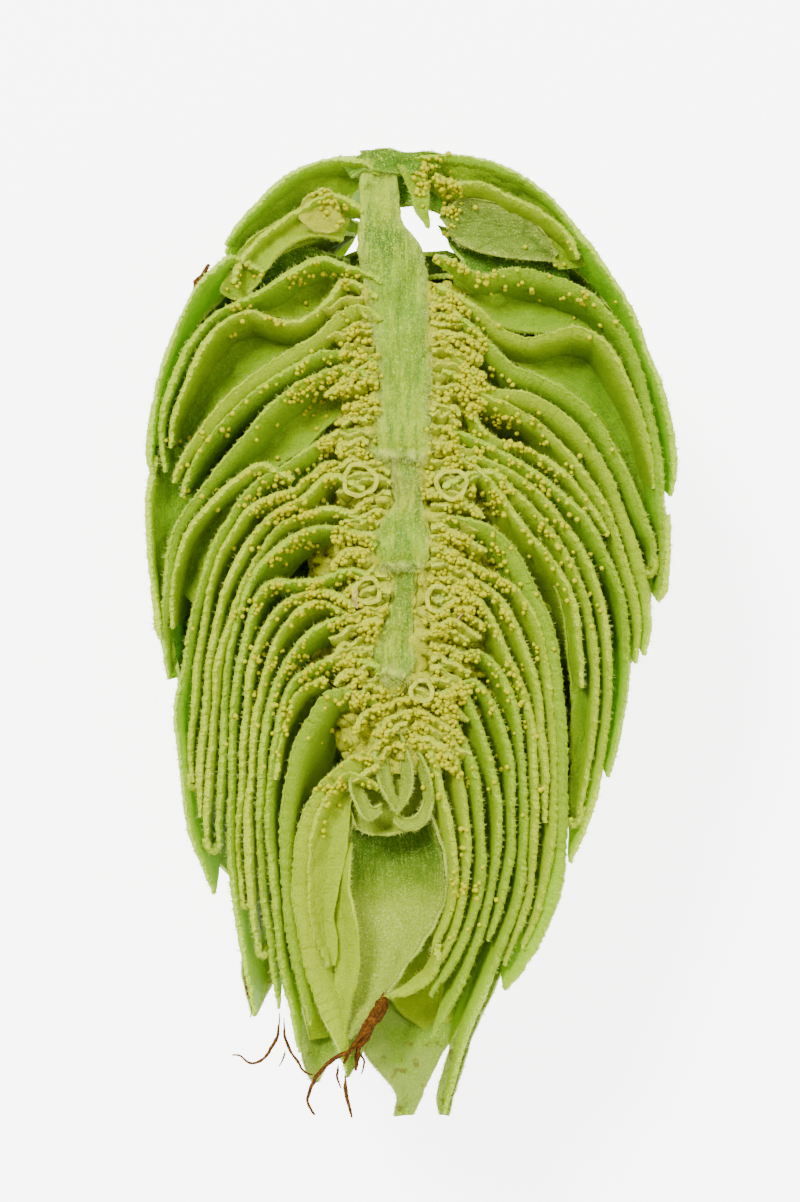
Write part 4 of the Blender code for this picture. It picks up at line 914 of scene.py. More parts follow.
# Each seed is its middle, half its width and half its height.
SEEDS = [((-1.75, 5.75), 0.42, 0.34), ((-1.6, 1.55), 0.34, 0.3), ((1.5, 5.5), 0.38, 0.32),
         ((1.0, 1.3), 0.34, 0.3), ((0.4, -2.1), 0.28, 0.26)]
seed_look = leaf_look("unripe_seed_green", (0.44, 0.48, 0.08), (0.26, 0.34, 0.02), (0.15, 0.24, 0.004),
                      glow=0.15, veins=0.6)
for count, ((x, y), wide, tall) in enumerate(SEEDS, 1):
    pole = np.linspace(0.04, math.pi - 0.04, 26)[:, None]
    turn = np.linspace(0, 2 * math.pi, 33)[None, :-1]
    pull = 1 + 0.05 * np.cos(8 * turn) * np.sin(pole)
    rings = np.stack([x + wide * np.sin(pole) * np.cos(turn) * pull, y - tall * np.cos(pole) + 0 * turn,
                      CUT_HEIGHT - SEED_SUNK
                      + SEED_HALF_THICKNESS * np.sin(pole) * np.sin(turn) * pull], axis=-1)
    rings[..., 2] += 0.03 * rough(rings, 0.2, 90.0 + count)
    depth = CUT_HEIGHT - rings[..., 2]
    # The rim tag paints each seed paler on top as a painted highlight, and the depth tag paints its lower
    # sides darker as painted shade.
    seed = loft(f"unripe_seed_{count}", rings, {"rim": 0.4 * np.exp(-depth), "depth": depth,
                                                "span": 0.3 * turn + 0 * pole,
                                                "along": 3 * pole + 0 * turn})
    seed.data.materials.append(seed_look)
    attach(seed, "root")


# ---------------------------------------------------------------- leaf bases
# The crumpled tissue between the strig and the leaves, where every bract's base, its little stalk
# and the scales round the cups crowd together. It is yellow-green, uneven and full of glands.
base_look = leaf_look("leaf_base_yellow_green", (0.50, 0.50, 0.01), (0.34, 0.38, 0.001),
                      (0.18, 0.23, 0.0), glow=0.2, veins=0.3, fuzz=0.7)
BASES_REACH = ([-4.6, -2, 2, 6, 9, 13.2], [2.2, 3.6, 3.9, 3.4, 2.9, 2.3])     # heights and how far out
for side, sign in (("left", -1), ("right", 1)):
    heights = np.linspace(13.2, -4.6, 190)
    inner = (strig_side(heights, sign) - 0.15 * sign)[:, None]
    outer = sign * np.interp(heights, *BASES_REACH)[:, None]
    share = np.linspace(0, 1, 42)[None, :]
    points = np.stack([inner + (outer - inner) * share, heights[:, None] + 0 * share - 0.5 * share,
                       CUT_HEIGHT - 0.30 - 1.5 * share ** 1.5 + 0 * heights[:, None]], axis=-1)
    folds = rough(points * (0.5, 1.5, 1), 0.55, 140.0 + sign)
    points[..., 2] += (0.42 * folds + 0.16 * rough(points, 0.22, 150.0 + sign)) * np.minimum(1, 6 * share)
    points[..., 2] = np.minimum(points[..., 2], CUT_HEIGHT - 0.02)
    points[..., 0] += 0.12 * rough(points, 0.4, 160.0)
    points[..., 1] += 0.15 * rough(points, 0.5, 170.0)
    depth = CUT_HEIGHT - points[..., 2]
    # The depth tag is raised by half again, so the painted shade darkens the bases faster with depth.
    base = thick_sheet(f"leaf_bases_{side}", points, np.full(points.shape[:2], 0.16),
                       {"rim": np.exp(-depth / 0.45), "depth": depth * 1.4,
                        "along": 8 * share + 0 * depth, "span": heights[:, None] + 0 * depth})
    base.data.materials.append(base_look)
    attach(base, "root")

heights = np.linspace(-1.2, -5.2, 60)[:, None]
across = np.linspace(-1, 1, 50)[None, :]
half_width = np.interp(-heights, [1.2, 2.2, 3.6, 5.2], [1.3, 2.2, 2.3, 1.6])
points = np.stack([-0.35 + half_width * across, heights + 0 * across,
                   CUT_HEIGHT - 0.42 - 0.9 * across ** 2 + 0 * heights], axis=-1)
points[..., 2] += 0.22 * rough(points, 0.5, 191.0) + 0.10 * rough(points, 0.2, 192.0)
points[..., 0] += 0.10 * rough(points, 0.4, 193.0)
depth = CUT_HEIGHT - points[..., 2]
growing = thick_sheet("leaf_bases_end", points, np.full(points.shape[:2], 0.18),
                      {"rim": np.exp(-depth / 0.4), "depth": depth, "along": 3 * heights + 0 * depth,
                       "span": 2 * across + 0 * depth})
growing.data.materials.append(base_look)
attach(growing, "root")


# ---------------------------------------------------------------- scales beside the strig
# Between the long leaves, beside the strig, the knife cut dozens of short ruffled scales: the bases
# of bracts, and the frilled rims of bracteoles round the cups.
def joined(name, pieces):
    """One object from several."""
    with bpy.context.temp_override(active_object=pieces[0], object=pieces[0],
                                   selected_editable_objects=pieces, selected_objects=pieces):
        bpy.ops.object.join()
    pieces[0].name = name
    return pieces[0]


SCALE_SPACING = 0.40
SCALES_FROM = 12.4
SCALES_TO = -4.6
SCALE_STEPS = 5
scale_look = leaf_look("ruffled_scale_yellow_green", (0.52, 0.56, 0.01), (0.34, 0.42, 0.001),
                       (0.17, 0.26, 0.0), glow=0.35, veins=0.3, fuzz=0.6)
dice = random.Random(11)
for side, sign in (("left", -1), ("right", 1)):
    scales = []
    for step in range(int((SCALES_FROM - SCALES_TO) / SCALE_SPACING)):
        y = SCALES_FROM - SCALE_SPACING * step + dice.uniform(-0.12, 0.12)
        beside = abs(float(strig_side(y, sign)))
        start = max(beside, 0.75) if y > -2 else 0.15
        length = dice.uniform(1.0, 2.1)
        slope = -0.25 - 0.5 * max(0.0, min(1.0, (1 - y) / 5))
        path = []
        for part in range(SCALE_STEPS + 1):
            share = part / SCALE_STEPS
            path.append((start + length * share, y + slope * length * share
                         + dice.uniform(-0.16, 0.16) + 0.25 * math.sin(share * 3.1)))
        reach = dice.uniform(22, 40)
        lip = dice.uniform(0.04, 0.2)
        scales.append(cut_leaf(f"scale_{side}_{step}", sign, reach, lip, path,
                               seed=400 + 7.7 * step + sign, backset=False))
    group = joined(f"ruffled_scales_{side}", scales)
    group.data.materials.append(scale_look)
    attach(group, "root")


# ---------------------------------------------------------------- young leaflets
# At the end of the strig the newest leaves are still small and folded over one another, each a
# looped ribbon round the growing point.
LEAFLETS = [                  # left and right edges as (x, height, depth)
    ([(-1.9, -4.4, 0.25), (-2.25, -5.3, 0.2), (-2.1, -6.2, 0.15), (-1.6, -6.9, 0.15), (-1.05, -6.6, 0.3)],
     [(-1.55, -4.5, 0.5), (-1.8, -5.3, 0.5), (-1.7, -6.0, 0.5), (-1.4, -6.45, 0.5), (-1.1, -6.3, 0.6)]),
    ([(-1.2, -3.4, 0.1), (-1.35, -4.3, 0.05), (-1.25, -5.2, 0.05), (-0.95, -6.0, 0.1), (-0.6, -6.6, 0.2)],
     [(-0.75, -3.4, 0.3), (-0.9, -4.3, 0.3), (-0.8, -5.2, 0.3), (-0.65, -5.8, 0.3), (-0.45, -6.2, 0.4)]),
    ([(-0.4, -3.6, 0.1), (-0.1, -4.5, 0.05), (0.05, -5.3, 0.05), (-0.1, -6.1, 0.1), (-0.55, -6.7, 0.2)],
     [(-0.7, -3.8, 0.4), (-0.45, -4.6, 0.4), (-0.35, -5.3, 0.4), (-0.4, -5.9, 0.4), (-0.65, -6.3, 0.4)]),
    ([(0.2, -4.2, 0.2), (0.6, -5.0, 0.1), (0.8, -5.8, 0.1), (0.75, -6.6, 0.15), (0.3, -7.2, 0.2),
      (-0.3, -7.25, 0.3), (-0.65, -6.9, 0.4)],
     [(0.0, -4.5, 0.5), (0.3, -5.2, 0.4), (0.45, -5.8, 0.4), (0.4, -6.4, 0.4), (0.1, -6.8, 0.4),
      (-0.25, -6.85, 0.5), (-0.5, -6.65, 0.5)]),
    ([(-1.0, -4.6, 0.6), (-1.2, -5.4, 0.6), (-1.0, -6.1, 0.6), (-0.6, -6.5, 0.6)],
     [(-0.2, -4.6, 0.6), (-0.1, -5.4, 0.6), (-0.2, -6.1, 0.6), (-0.5, -6.5, 0.6)]),
    ([(-2.0, -5.2, 0.7), (-2.3, -6.2, 0.7), (-2.0, -7.2, 0.7), (-1.4, -7.5, 0.8)],
     [(0.7, -5.2, 0.7), (0.8, -6.2, 0.7), (0.4, -7.1, 0.7), (-0.9, -7.5, 0.8)]),
]
leaflet_look = leaf_look("young_leaflet_green", (0.42, 0.52, 0.03), (0.21, 0.34, 0.004),
                         (0.10, 0.20, 0.0), glow=0.35, veins=0.4)
for count, (left, right) in enumerate(LEAFLETS, 1):
    seed = 180.0 + 6 * count
    leaf = leaf_patch(f"young_leaflet_{count}", left, right, 40, 12, 0.25, 0.12, seed, wave=0.05)
    leaf.data.materials.append(leaflet_look)
    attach(leaf, "root")


# ---------------------------------------------------------------- leaves at the stem end
# The short leaves that fold over the cone's shoulders beside the strig: a green pointed flap, a
# thin net-veined bracteole face, and the broad faces of the outermost bracts. The shadowed leaves
# are dark sheets in painted shade, set in the shaded gaps under the shoulders.
SHOULDER_LEAVES = [           # name, kind, and left and right edges as (x, height, depth)
    ("shoulder_face_left", "bract",
     [(-1.9, 17.75, 0.5), (-3.0, 17.65, 0.4), (-4.2, 17.15, 0.4), (-5.3, 16.35, 0.4), (-6.2, 15.35, 0.4),
      (-6.95, 14.2, 0.5)],
     [(-1.95, 16.7, 1.2), (-2.6, 15.9, 1.3), (-3.6, 15.6, 1.2), (-4.8, 15.2, 1.1), (-5.7, 14.4, 1.0),
      (-6.5, 13.5, 1.0)]),
    ("shoulder_cup_left", "bracteole",
     [(-2.3, 15.4, 0.6), (-3.4, 15.75, 0.5), (-4.6, 15.5, 0.4), (-5.8, 14.8, 0.4), (-6.7, 13.8, 0.4),
      (-7.1, 12.7, 0.6)],
     [(-2.5, 14.6, 0.5), (-3.5, 14.75, 0.35), (-4.4, 14.5, 0.3), (-5.1, 13.9, 0.3), (-5.6, 13.1, 0.35),
      (-6.4, 12.3, 0.6)]),
    ("shoulder_face_right", "bract",
     [(0.2, 17.6, 0.4), (1.6, 17.6, 0.3), (3.1, 17.3, 0.3), (4.4, 16.7, 0.3), (5.5, 15.7, 0.4),
      (6.3, 14.6, 0.5)],
     [(0.5, 16.6, 1.0), (1.8, 16.3, 1.1), (3.0, 16.2, 1.1), (4.0, 15.7, 1.1), (4.9, 15.0, 1.0),
      (5.6, 14.0, 1.0)]),
    ("shoulder_bright_right", "bracteole",
     [(3.6, 16.3, 0.6), (4.6, 15.9, 0.6), (5.5, 15.2, 0.6), (6.2, 14.5, 0.7), (6.5, 13.7, 0.8)],
     [(4.6, 14.9, 0.9), (5.1, 14.7, 0.9), (5.3, 14.3, 0.9), (5.35, 13.9, 0.9), (5.5, 13.6, 0.9)]),
    ("net_veined_face", "bracteole",
     [(1.15, 15.75, 0.7), (1.9, 16.2, 0.6), (2.9, 16.1, 0.6), (3.9, 15.8, 0.6), (4.8, 15.1, 0.6),
      (5.45, 14.1, 0.7)],
     [(1.1, 15.55, 0.9), (1.5, 14.85, 0.9), (2.1, 14.4, 0.9), (3.1, 14.1, 0.9), (4.1, 13.95, 0.9),
      (5.2, 13.9, 0.9)]),
    ("pointed_flap", "bract",
     [(-0.45, 17.4, 0.1), (-0.2, 16.7, 0.1), (0.15, 15.9, 0.15), (0.5, 15.1, 0.25)],
     [(0.6, 17.3, 0.2), (0.65, 16.6, 0.2), (0.65, 15.8, 0.2), (0.62, 15.05, 0.25)]),
    ("stem_knob_flap", "bract",
     [(-2.5, 17.4, 0.3), (-1.7, 17.85, 0.1), (-0.9, 18.0, 0.05), (-0.2, 17.85, 0.1), (0.6, 17.9, 0.15),
      (1.3, 17.8, 0.3)],
     [(-2.2, 16.9, 0.3), (-1.7, 17.15, 0.1), (-0.9, 17.1, 0.05), (-0.2, 17.05, 0.1), (0.5, 17.2, 0.2),
      (1.1, 17.3, 0.3)]),
    ("scale_netted_left", "bracteole",
     [(-3.25, 16.55, 0.25), (-3.95, 16.15, 0.2), (-4.15, 15.5, 0.15), (-3.75, 15.0, 0.15),
      (-3.1, 14.85, 0.2)],
     [(-3.05, 16.5, 0.25), (-2.8, 16.2, 0.2), (-2.6, 15.7, 0.15), (-2.55, 15.25, 0.15),
      (-2.75, 14.95, 0.2)]),
    ("shadowed_leaf_right", "bract",
     [(1.0, 15.3, 1.3), (2.2, 15.0, 1.3), (3.6, 14.6, 1.3), (4.8, 14.4, 1.3), (5.8, 14.2, 1.3)],
     [(1.9, 14.0, 1.2), (2.4, 13.0, 1.4), (3.6, 13.0, 1.5), (4.8, 13.0, 1.5), (6.0, 12.8, 1.5)]),
    ("shadowed_leaf_stem", "bract",
     [(-0.6, 17.6, 0.7), (0.2, 17.5, 0.7), (1.0, 17.3, 0.7), (1.9, 16.8, 0.9)],
     [(-0.6, 15.9, 0.8), (0.2, 15.95, 0.8), (0.9, 15.75, 0.8), (1.5, 15.5, 0.95)]),
    ("shadowed_leaf_left", "bract",
     [(-2.3, 14.0, 1.4), (-3.2, 14.3, 1.4), (-4.2, 14.6, 1.4), (-5.4, 14.2, 1.5), (-6.6, 13.4, 1.5)],
     [(-2.2, 12.6, 1.4), (-3.2, 12.8, 1.6), (-4.2, 12.6, 1.8), (-5.4, 12.2, 1.8), (-6.6, 11.8, 1.8)]),
    ("hollow_face_left_upper", "bract",
     [(-2.5, 13.5, 1.2), (-3.5, 13.6, 1.2), (-4.5, 13.2, 1.2), (-5.5, 12.6, 1.2), (-6.5, 12.15, 1.1)],
     [(-2.7, 12.5, 1.3), (-3.5, 11.9, 1.2), (-4.4, 11.7, 1.1), (-5.4, 11.9, 1.1), (-6.4, 11.95, 1.0)]),
    ("hollow_face_left_middle", "bract",
     [(-3.7, 11.5, 1.5), (-5.0, 11.5, 1.7), (-6.4, 11.4, 1.8), (-7.8, 10.2, 1.8), (-8.5, 8.7, 1.6),
      (-8.85, 7.0, 1.2)],
     [(-3.5, 11.0, 1.3), (-5.0, 10.2, 1.3), (-6.3, 9.3, 1.4), (-7.4, 8.2, 1.4), (-8.2, 7.0, 1.3),
      (-8.7, 6.0, 1.1)]),
    ("hollow_face_left_lower", "bract",
     [(-2.1, 8.7, 1.4), (-3.0, 9.2, 1.3), (-4.4, 9.0, 1.2), (-5.6, 8.0, 1.3), (-7.0, 6.2, 1.3),
      (-8.3, 4.3, 1.3), (-9.0, 2.0, 1.1)],
     [(-2.1, 8.5, 1.4), (-3.0, 7.8, 1.2), (-4.1, 6.8, 1.1), (-5.3, 6.0, 1.1), (-6.5, 4.9, 1.1),
      (-7.4, 3.3, 1.1), (-8.1, 1.1, 1.0)]),
    ("hollow_face_right_upper", "bract",
     [(1.5, 13.6, 1.4), (2.8, 13.2, 1.4), (4.8, 13.2, 1.4), (6.8, 12.2, 1.4), (8.1, 10.4, 1.3),
      (8.95, 7.8, 1.1)],
     [(1.7, 12.5, 1.2), (3.2, 11.5, 1.1), (4.9, 11.2, 1.1), (6.7, 11.2, 1.1), (7.9, 9.7, 1.1),
      (8.8, 7.4, 1.0)]),
    ("hollow_face_right_middle", "bract",
     [(3.3, 11.1, 1.3), (4.9, 10.9, 1.5), (6.8, 10.9, 1.7), (7.8, 9.6, 1.6), (8.5, 8.0, 1.4),
      (8.9, 5.6, 1.1)],
     [(3.2, 10.5, 1.2), (4.6, 9.7, 1.3), (6.3, 8.6, 1.3), (7.5, 7.1, 1.3), (8.2, 5.5, 1.2),
      (8.7, 4.3, 1.0)]),
    ("outer_face_left", "bract",
     [(-9.6, 7.0, 0.6), (-9.72, 5.5, 0.45), (-9.72, 4.0, 0.4), (-9.6, 2.4, 0.4), (-9.45, 0.8, 0.4),
      (-9.2, -0.8, 0.4), (-9.0, -1.7, 0.45)],
     [(-8.3, 7.0, 1.2), (-8.1, 5.5, 1.2), (-8.1, 4.2, 1.1), (-8.7, 2.4, 0.9), (-9.0, 0.8, 0.7),
      (-8.8, -0.8, 0.6), (-8.7, -1.6, 0.6)]),
    ("window_leaf_right", "bract",
     [(4.6, 4.3, 0.8), (5.0, 3.0, 0.8), (5.5, 1.4, 0.8), (5.75, 0.0, 0.75), (5.95, -2.0, 0.7),
      (5.95, -4.5, 0.65), (5.9, -6.8, 0.5)],
     [(5.6, 4.1, 1.0), (6.3, 2.8, 1.0), (6.85, 1.2, 1.0), (7.1, -0.4, 1.0), (7.15, -2.2, 0.95),
      (6.9, -4.8, 0.85), (6.3, -7.0, 0.7)]),
]
VEIN_DARK = (0.06, 0.14, 0.0)


def net_of_veins(look, colour):
    """A net of thin dark veins, drawn out along the leaf."""
    cells = look.node("ShaderNodeTexVoronoi", feature="DISTANCE_TO_EDGE")
    cells.inputs["Scale"].default_value = 1.1
    look.join(look.place((0.45, 1.4, 0.3)), cells.inputs["Vector"])
    return look.blend(look.ramp(cells.outputs["Distance"], [(0.0, 0.55), (0.06, 0.0)]), colour, VEIN_DARK)


# Dark green for the stem knob flap, and painted shade for the shadowed leaves: dark sheets standing for
# the shade in the gaps under the shoulders.
knob_and_shade_look = leaf_look("shoulder_dark_green_and_shade", (0.24, 0.38, 0.01), (0.07, 0.20, 0.0), (0.035, 0.12, 0.0),
                      glow=0.25, fuzz=0.8, blanch=0.1)
net_look = leaf_look("net_veined_grey_green", (0.40, 0.46, 0.05), (0.20, 0.30, 0.02), (0.12, 0.22, 0.006),
                     glow=0.3, veins=0.1, fuzz=0.9, blanch=0.0, marks=net_of_veins)
SHOULDER_LOOKS = {
    "stem_knob_flap": knob_and_shade_look, "shadowed_leaf_right": knob_and_shade_look, "shadowed_leaf_stem": knob_and_shade_look,
    "shadowed_leaf_left": knob_and_shade_look, "net_veined_face": net_look, "scale_netted_left": cup_look,
}
for count, (name, kind, left, right) in enumerate(SHOULDER_LEAVES, 1):
    leaf = leaf_patch(name, left, right, 56, 24, 0.10, 0.12, 230.0 + 9 * count, wave=0.11)
    usual = bract_look if kind == "bract" else bracteole_look
    leaf.data.materials.append(SHOULDER_LOOKS.get(name, usual))
    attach(leaf, "root")


# ---------------------------------------------------------------- dried styles
# The brown, thread-like remains of the flowers' styles. They are dry, twisted and slightly knotty,
# and hang out of the cone's narrow end. Three pinkish stalks beside the seeds are made the same way.
STYLE_NODES = ("dried_style_stout", "dried_style_short", "dried_style_left")
STYLES = [                    # name, radius, and course as (x, height, depth)
    ("dried_style_stout", 0.23, [(-0.85, -13.2, 0.5), (-1.1, -13.75, 0.0), (-1.45, -14.4, -0.15),
                                (-1.75, -15.0, -0.15), (-2.0, -15.3, -0.1)]),
    ("dried_style_strand", 0.11, [(-0.9, -13.2, 0.3), (-1.25, -14.1, -0.2), (-1.7, -14.75, -0.25),
                                  (-2.2, -15.3, -0.2),
                                 (-2.5, -15.9, 0.0)]),
    ("dried_style_strand_low", 0.09, [(-0.95, -13.4, 0.2), (-1.55, -14.2, -0.15), (-1.9, -15.0, -0.2),
                                     (-1.95, -15.8, 0.0)]),
    ("dried_style_curl", 0.085, [(-1.75, -15.05, -0.2), (-2.3, -15.45, -0.2), (-2.9, -15.75, -0.1),
                                 (-3.4, -16.3, 0.2), (-3.75, -16.95, 0.5), (-3.85, -17.5, 0.7),
                                 (-3.6, -17.95, 0.9)]),
    ("dried_style_short", 0.075, [(-2.45, -16.4, 0.4), (-2.42, -17.0, 0.45), (-2.32, -17.5, 0.5),
                                  (-2.2, -18.0, 0.55)]),
    ("dried_style_fork", 0.05, [(-2.7, -16.0, 0.35), (-2.75, -16.4, 0.4), (-2.6, -16.9, 0.5)]),
    ("dried_style_stub", 0.09, [(-1.95, -15.2, 0.0), (-2.0, -15.7, 0.1), (-2.02, -16.2, 0.2)]),
    ("dried_style_hook", 0.045, [(-1.9, -15.5, 0.1), (-1.75, -15.8, 0.2), (-1.75, -16.05, 0.3),
                                 (-1.87, -16.35, 0.3)]),
    ("dried_style_left", 0.06, [(-4.9, -14.1, 0.5), (-4.95, -14.8, 0.5), (-5.2, -15.4, 0.55),
                                (-5.6, -15.9, 0.6), (-6.0, -15.98, 0.6), (-6.4, -15.7, 0.6),
                                (-6.65, -15.68, 0.6)]),
    ("dried_style_middle", 0.055, [(-4.7, -14.3, 0.5), (-4.67, -15.1, 0.5), (-4.3, -15.8, 0.5),
                                   (-3.95, -16.3, 0.5), (-3.65, -16.4, 0.5)]),
    ("dried_style_twig", 0.035, [(-4.65, -15.5, 0.5), (-4.75, -15.8, 0.5), (-4.9, -16.1, 0.5)]),
    ("dried_scale_left", 0.12, [(-8.1, 12.75, 0.5), (-7.95, 13.05, 0.45), (-7.75, 13.35, 0.4),
                                (-7.5, 13.75, 0.4)]),
    ("seed_stalk_left", 0.10, [(-2.0, 1.75, -0.05), (-2.08, 1.4, -0.08), (-2.0, 0.95, 0.0)]),
    ("seed_stalk_tip", 0.10, [(-2.05, -1.95, 0.1), (-2.12, -2.35, 0.05), (-2.05, -2.75, 0.1)]),
    ("seed_stalk_right", 0.07, [(2.0, 1.0, 0.1), (1.85, 0.75, 0.05), (1.7, 0.5, 0.1)]),
    ("dried_style_upper", 0.045, [(-6.05, -12.1, 0.6), (-6.18, -12.7, 0.6), (-6.1, -13.3, 0.6),
                                  (-5.9, -13.8, 0.6)]),
    ("dried_style_upper_thin", 0.035, [(-5.85, -12.7, 0.7), (-5.85, -13.4, 0.7), (-5.98, -14.3, 0.7)]),
]
DRY_BROWNS = [(0.30, (0.020, 0.006, 0.0)), (0.52, (0.075, 0.026, 0.001)), (0.72, (0.17, 0.060, 0.003))]
STYLE_STATIONS = 60
STYLE_SIDES = 12
brown = Finish("dried_style_brown")
fine = brown.place()
colour = brown.ramp(brown.grain(fine, 0.12, 4.0, 0.6), DRY_BROWNS)
brown.bump(brown.grain(fine, 0.06, 3.0), 0.03, 0.8)
brown.surface(colour, 0.8, 0.1)
pink_look = leaf_look("seed_stalk_pinkish", (0.60, 0.42, 0.14), (0.55, 0.36, 0.12), (0.40, 0.26, 0.07),
                      glow=0.2, blanch=0.0)
for count, (name, radius, path) in enumerate(STYLES, 1):
    line = curve_points(path, STYLE_STATIONS)
    t = np.linspace(0, 1, STYLE_STATIONS + 1)
    centre_line = np.stack([line[:, 0], line[:, 1], CUT_HEIGHT - line[:, 2]], axis=1)
    centre_line[:, 0] += 0.03 * rough(centre_line, 0.4, 300.0 + count)
    run = np.gradient(centre_line, axis=0)
    run /= np.linalg.norm(run, axis=1, keepdims=True)
    across = np.cross(run, (0, 0, 1.0))
    across /= np.linalg.norm(across, axis=1, keepdims=True)
    upward = np.cross(across, run)
    turn = np.linspace(0, 2 * math.pi, STYLE_SIDES + 1)[None, :-1]
    taper = radius * ((0.3 + 0.7 * smooth(t / 0.3)) * (1 - 0.55 * t ** 2))[:, None]
    round_about = 0.3 * np.stack([np.cos(turn), np.sin(turn), 0 * turn], axis=-1)
    knots = (1 + 0.28 * np.sin(3 * turn + 14 * t[:, None])
             + 0.22 * rough(centre_line[:, None] + round_about, 0.16, 310.0))
    rings = (centre_line[:, None] + (taper * knots * np.cos(turn))[..., None] * across[:, None]
             + (taper * knots * np.sin(turn))[..., None] * upward[:, None])
    plain = 0 * rings[..., 0]
    style = loft(name + "_thread", rings, {"rim": plain, "depth": plain, "span": plain, "along": plain})
    style.data.materials.append(pink_look if name.startswith("seed_stalk") else brown.material)
    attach(style, "root")
    if name in STYLE_NODES:
        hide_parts(name)


# ---------------------------------------------------------------- lupulin glands
# Yellow resin beads a fifth of a millimetre across, stuck to the leaves' faces and edges and
# crowded thickest beside the strig.
GLAND_REGIONS = [             # middle, spread in millimetres, and how many beads
    ((-2.3, 10.2), (1.1, 1.0), 120), ((-1.9, 8.9), (0.8, 0.9), 70), ((-3.4, 9.3), (1.0, 0.7), 60),
    ((-3.8, 7.3), (1.3, 0.9), 90), ((-3.0, 6.0), (1.4, 0.8), 150), ((-4.3, 4.9), (1.2, 0.7), 90),
    ((-2.0, 4.9), (0.9, 0.7), 60), ((-2.6, 3.4), (1.0, 0.7), 120), ((-3.6, 2.4), (1.2, 0.7), 130),
    ((-3.4, 0.9), (1.4, 0.8), 90), ((-1.3, 0.7), (0.6, 0.6), 50), ((-2.9, -0.9), (1.5, 0.8), 170),
    ((-1.6, -2.4), (0.9, 0.7), 110), ((-1.9, -3.6), (0.7, 0.8), 60), ((-2.7, -4.8), (0.7, 1.3), 45),
    ((-3.6, 13.0), (1.3, 0.5), 26), ((-2.6, 15.8), (0.6, 0.5), 24), ((-4.6, -2.2), (1.0, 1.6), 40),
    ((1.6, 11.7), (0.7, 0.8), 110), ((2.0, 10.4), (0.8, 0.8), 110), ((2.6, 9.0), (1.0, 0.8), 120),
    ((3.0, 7.6), (1.2, 0.7), 120), ((2.2, 6.7), (1.0, 0.6), 120), ((1.2, 5.2), (0.8, 0.8), 110),
    ((3.0, 5.1), (1.2, 0.8), 80), ((1.6, 3.4), (0.8, 0.8), 140), ((2.6, 2.2), (1.0, 0.6), 120),
    ((1.0, 1.4), (0.7, 0.8), 130), ((2.9, 0.9), (1.0, 0.8), 70), ((0.9, -0.4), (0.7, 0.7), 110),
    ((1.4, -1.7), (0.9, 0.8), 190), ((1.2, -3.0), (0.9, 0.7), 150), ((0.3, -3.6), (0.9, 0.8), 110),
    ((1.3, -5.0), (0.7, 1.0), 70), ((-0.4, -2.6), (0.5, 0.5), 60), ((0.9, 16.9), (0.5, 0.5), 36),
    ((1.4, 15.9), (0.6, 0.6), 60), ((2.2, -8.4), (0.4, 1.6), 22), ((1.8, 13.0), (0.8, 0.5), 40),
    ((4.6, 5.2), (1.4, 1.6), 40), ((-6.6, 5.5), (1.6, 3.0), 40), ((5.4, 4.0), (1.4, 3.2), 45),
    ((4.0, -1.0), (0.8, 3.0), 50), ((-5.2, 0.5), (1.2, 3.0), 50), ((-6.0, 12.2), (1.4, 1.0), 24),
    ((5.5, 12.6), (1.6, 1.2), 20),
]
CLEAR_SPOTS = [(-1.9, 5.7, 0.72), (-1.62, 1.6, 0.5), (1.5, 5.55, 0.55), (1.05, 1.3, 0.4),
               (0.4, -2.1, 0.4)]
BEAD_RADIUS = 0.098
GLAND_CROWDING = 1.7
BARE_LEAVES = ("back_bract", "outer_bract", "tip_leaf", "tip_bract", "centre_bract")
DEEPEST_GLAND = 1.5
MIDDLE_X = -0.4               # divides what is scattered on the left from what is on the right
rng = np.random.default_rng(5)
gland_spots = []
gland_leans = []
for name, points, normals, thickness, tags in leaf_faces:
    if name.startswith(BARE_LEAVES):
        continue
    upward = np.where(normals[..., 2:3] < 0, -1.0, 1.0)
    lifted = points + normals * upward * (thickness / 2 + BEAD_RADIUS * 0.5)[..., None]
    shown = (tags["depth"] < DEEPEST_GLAND).ravel()
    gland_spots.append(lifted.reshape(-1, 3)[shown])
    gland_leans.append(tags["depth"].ravel()[shown])
gland_spots = np.vstack(gland_spots)
gland_leans = np.concatenate(gland_leans)
clusters = 1.1 * rough(gland_spots, 0.9, 77.0) + 0.5 * rough(gland_spots, 0.35, 78.0)
crowds = np.clip(0.35 + clusters, 0.02, 1.2)
chosen = []
for (x, y), (wide, tall), count in GLAND_REGIONS:
    near = (((gland_spots[:, 0] - x) / wide) ** 2 + ((gland_spots[:, 1] - y) / tall) ** 2)
    weight = np.exp(-near) * np.exp(-gland_leans / 0.7) * crowds
    cumulative = np.cumsum(weight)
    count = int(count * GLAND_CROWDING)
    picks = np.searchsorted(cumulative, rng.random(count) * cumulative[-1])
    chosen.append(gland_spots[picks] + rng.normal(0, 0.04, (count, 3)))
chosen = np.vstack(chosen)
for x, y, clear in CLEAR_SPOTS:
    chosen = chosen[np.hypot(chosen[:, 0] - x, chosen[:, 1] - y) > clear]
keep = []
taken = {}
for index, spot in enumerate(chosen):
    cell = tuple(np.floor(spot / (BEAD_RADIUS * 1.25)).astype(int))
    if cell in taken:
        continue
    taken[cell] = index
    keep.append(index)
chosen = chosen[keep]


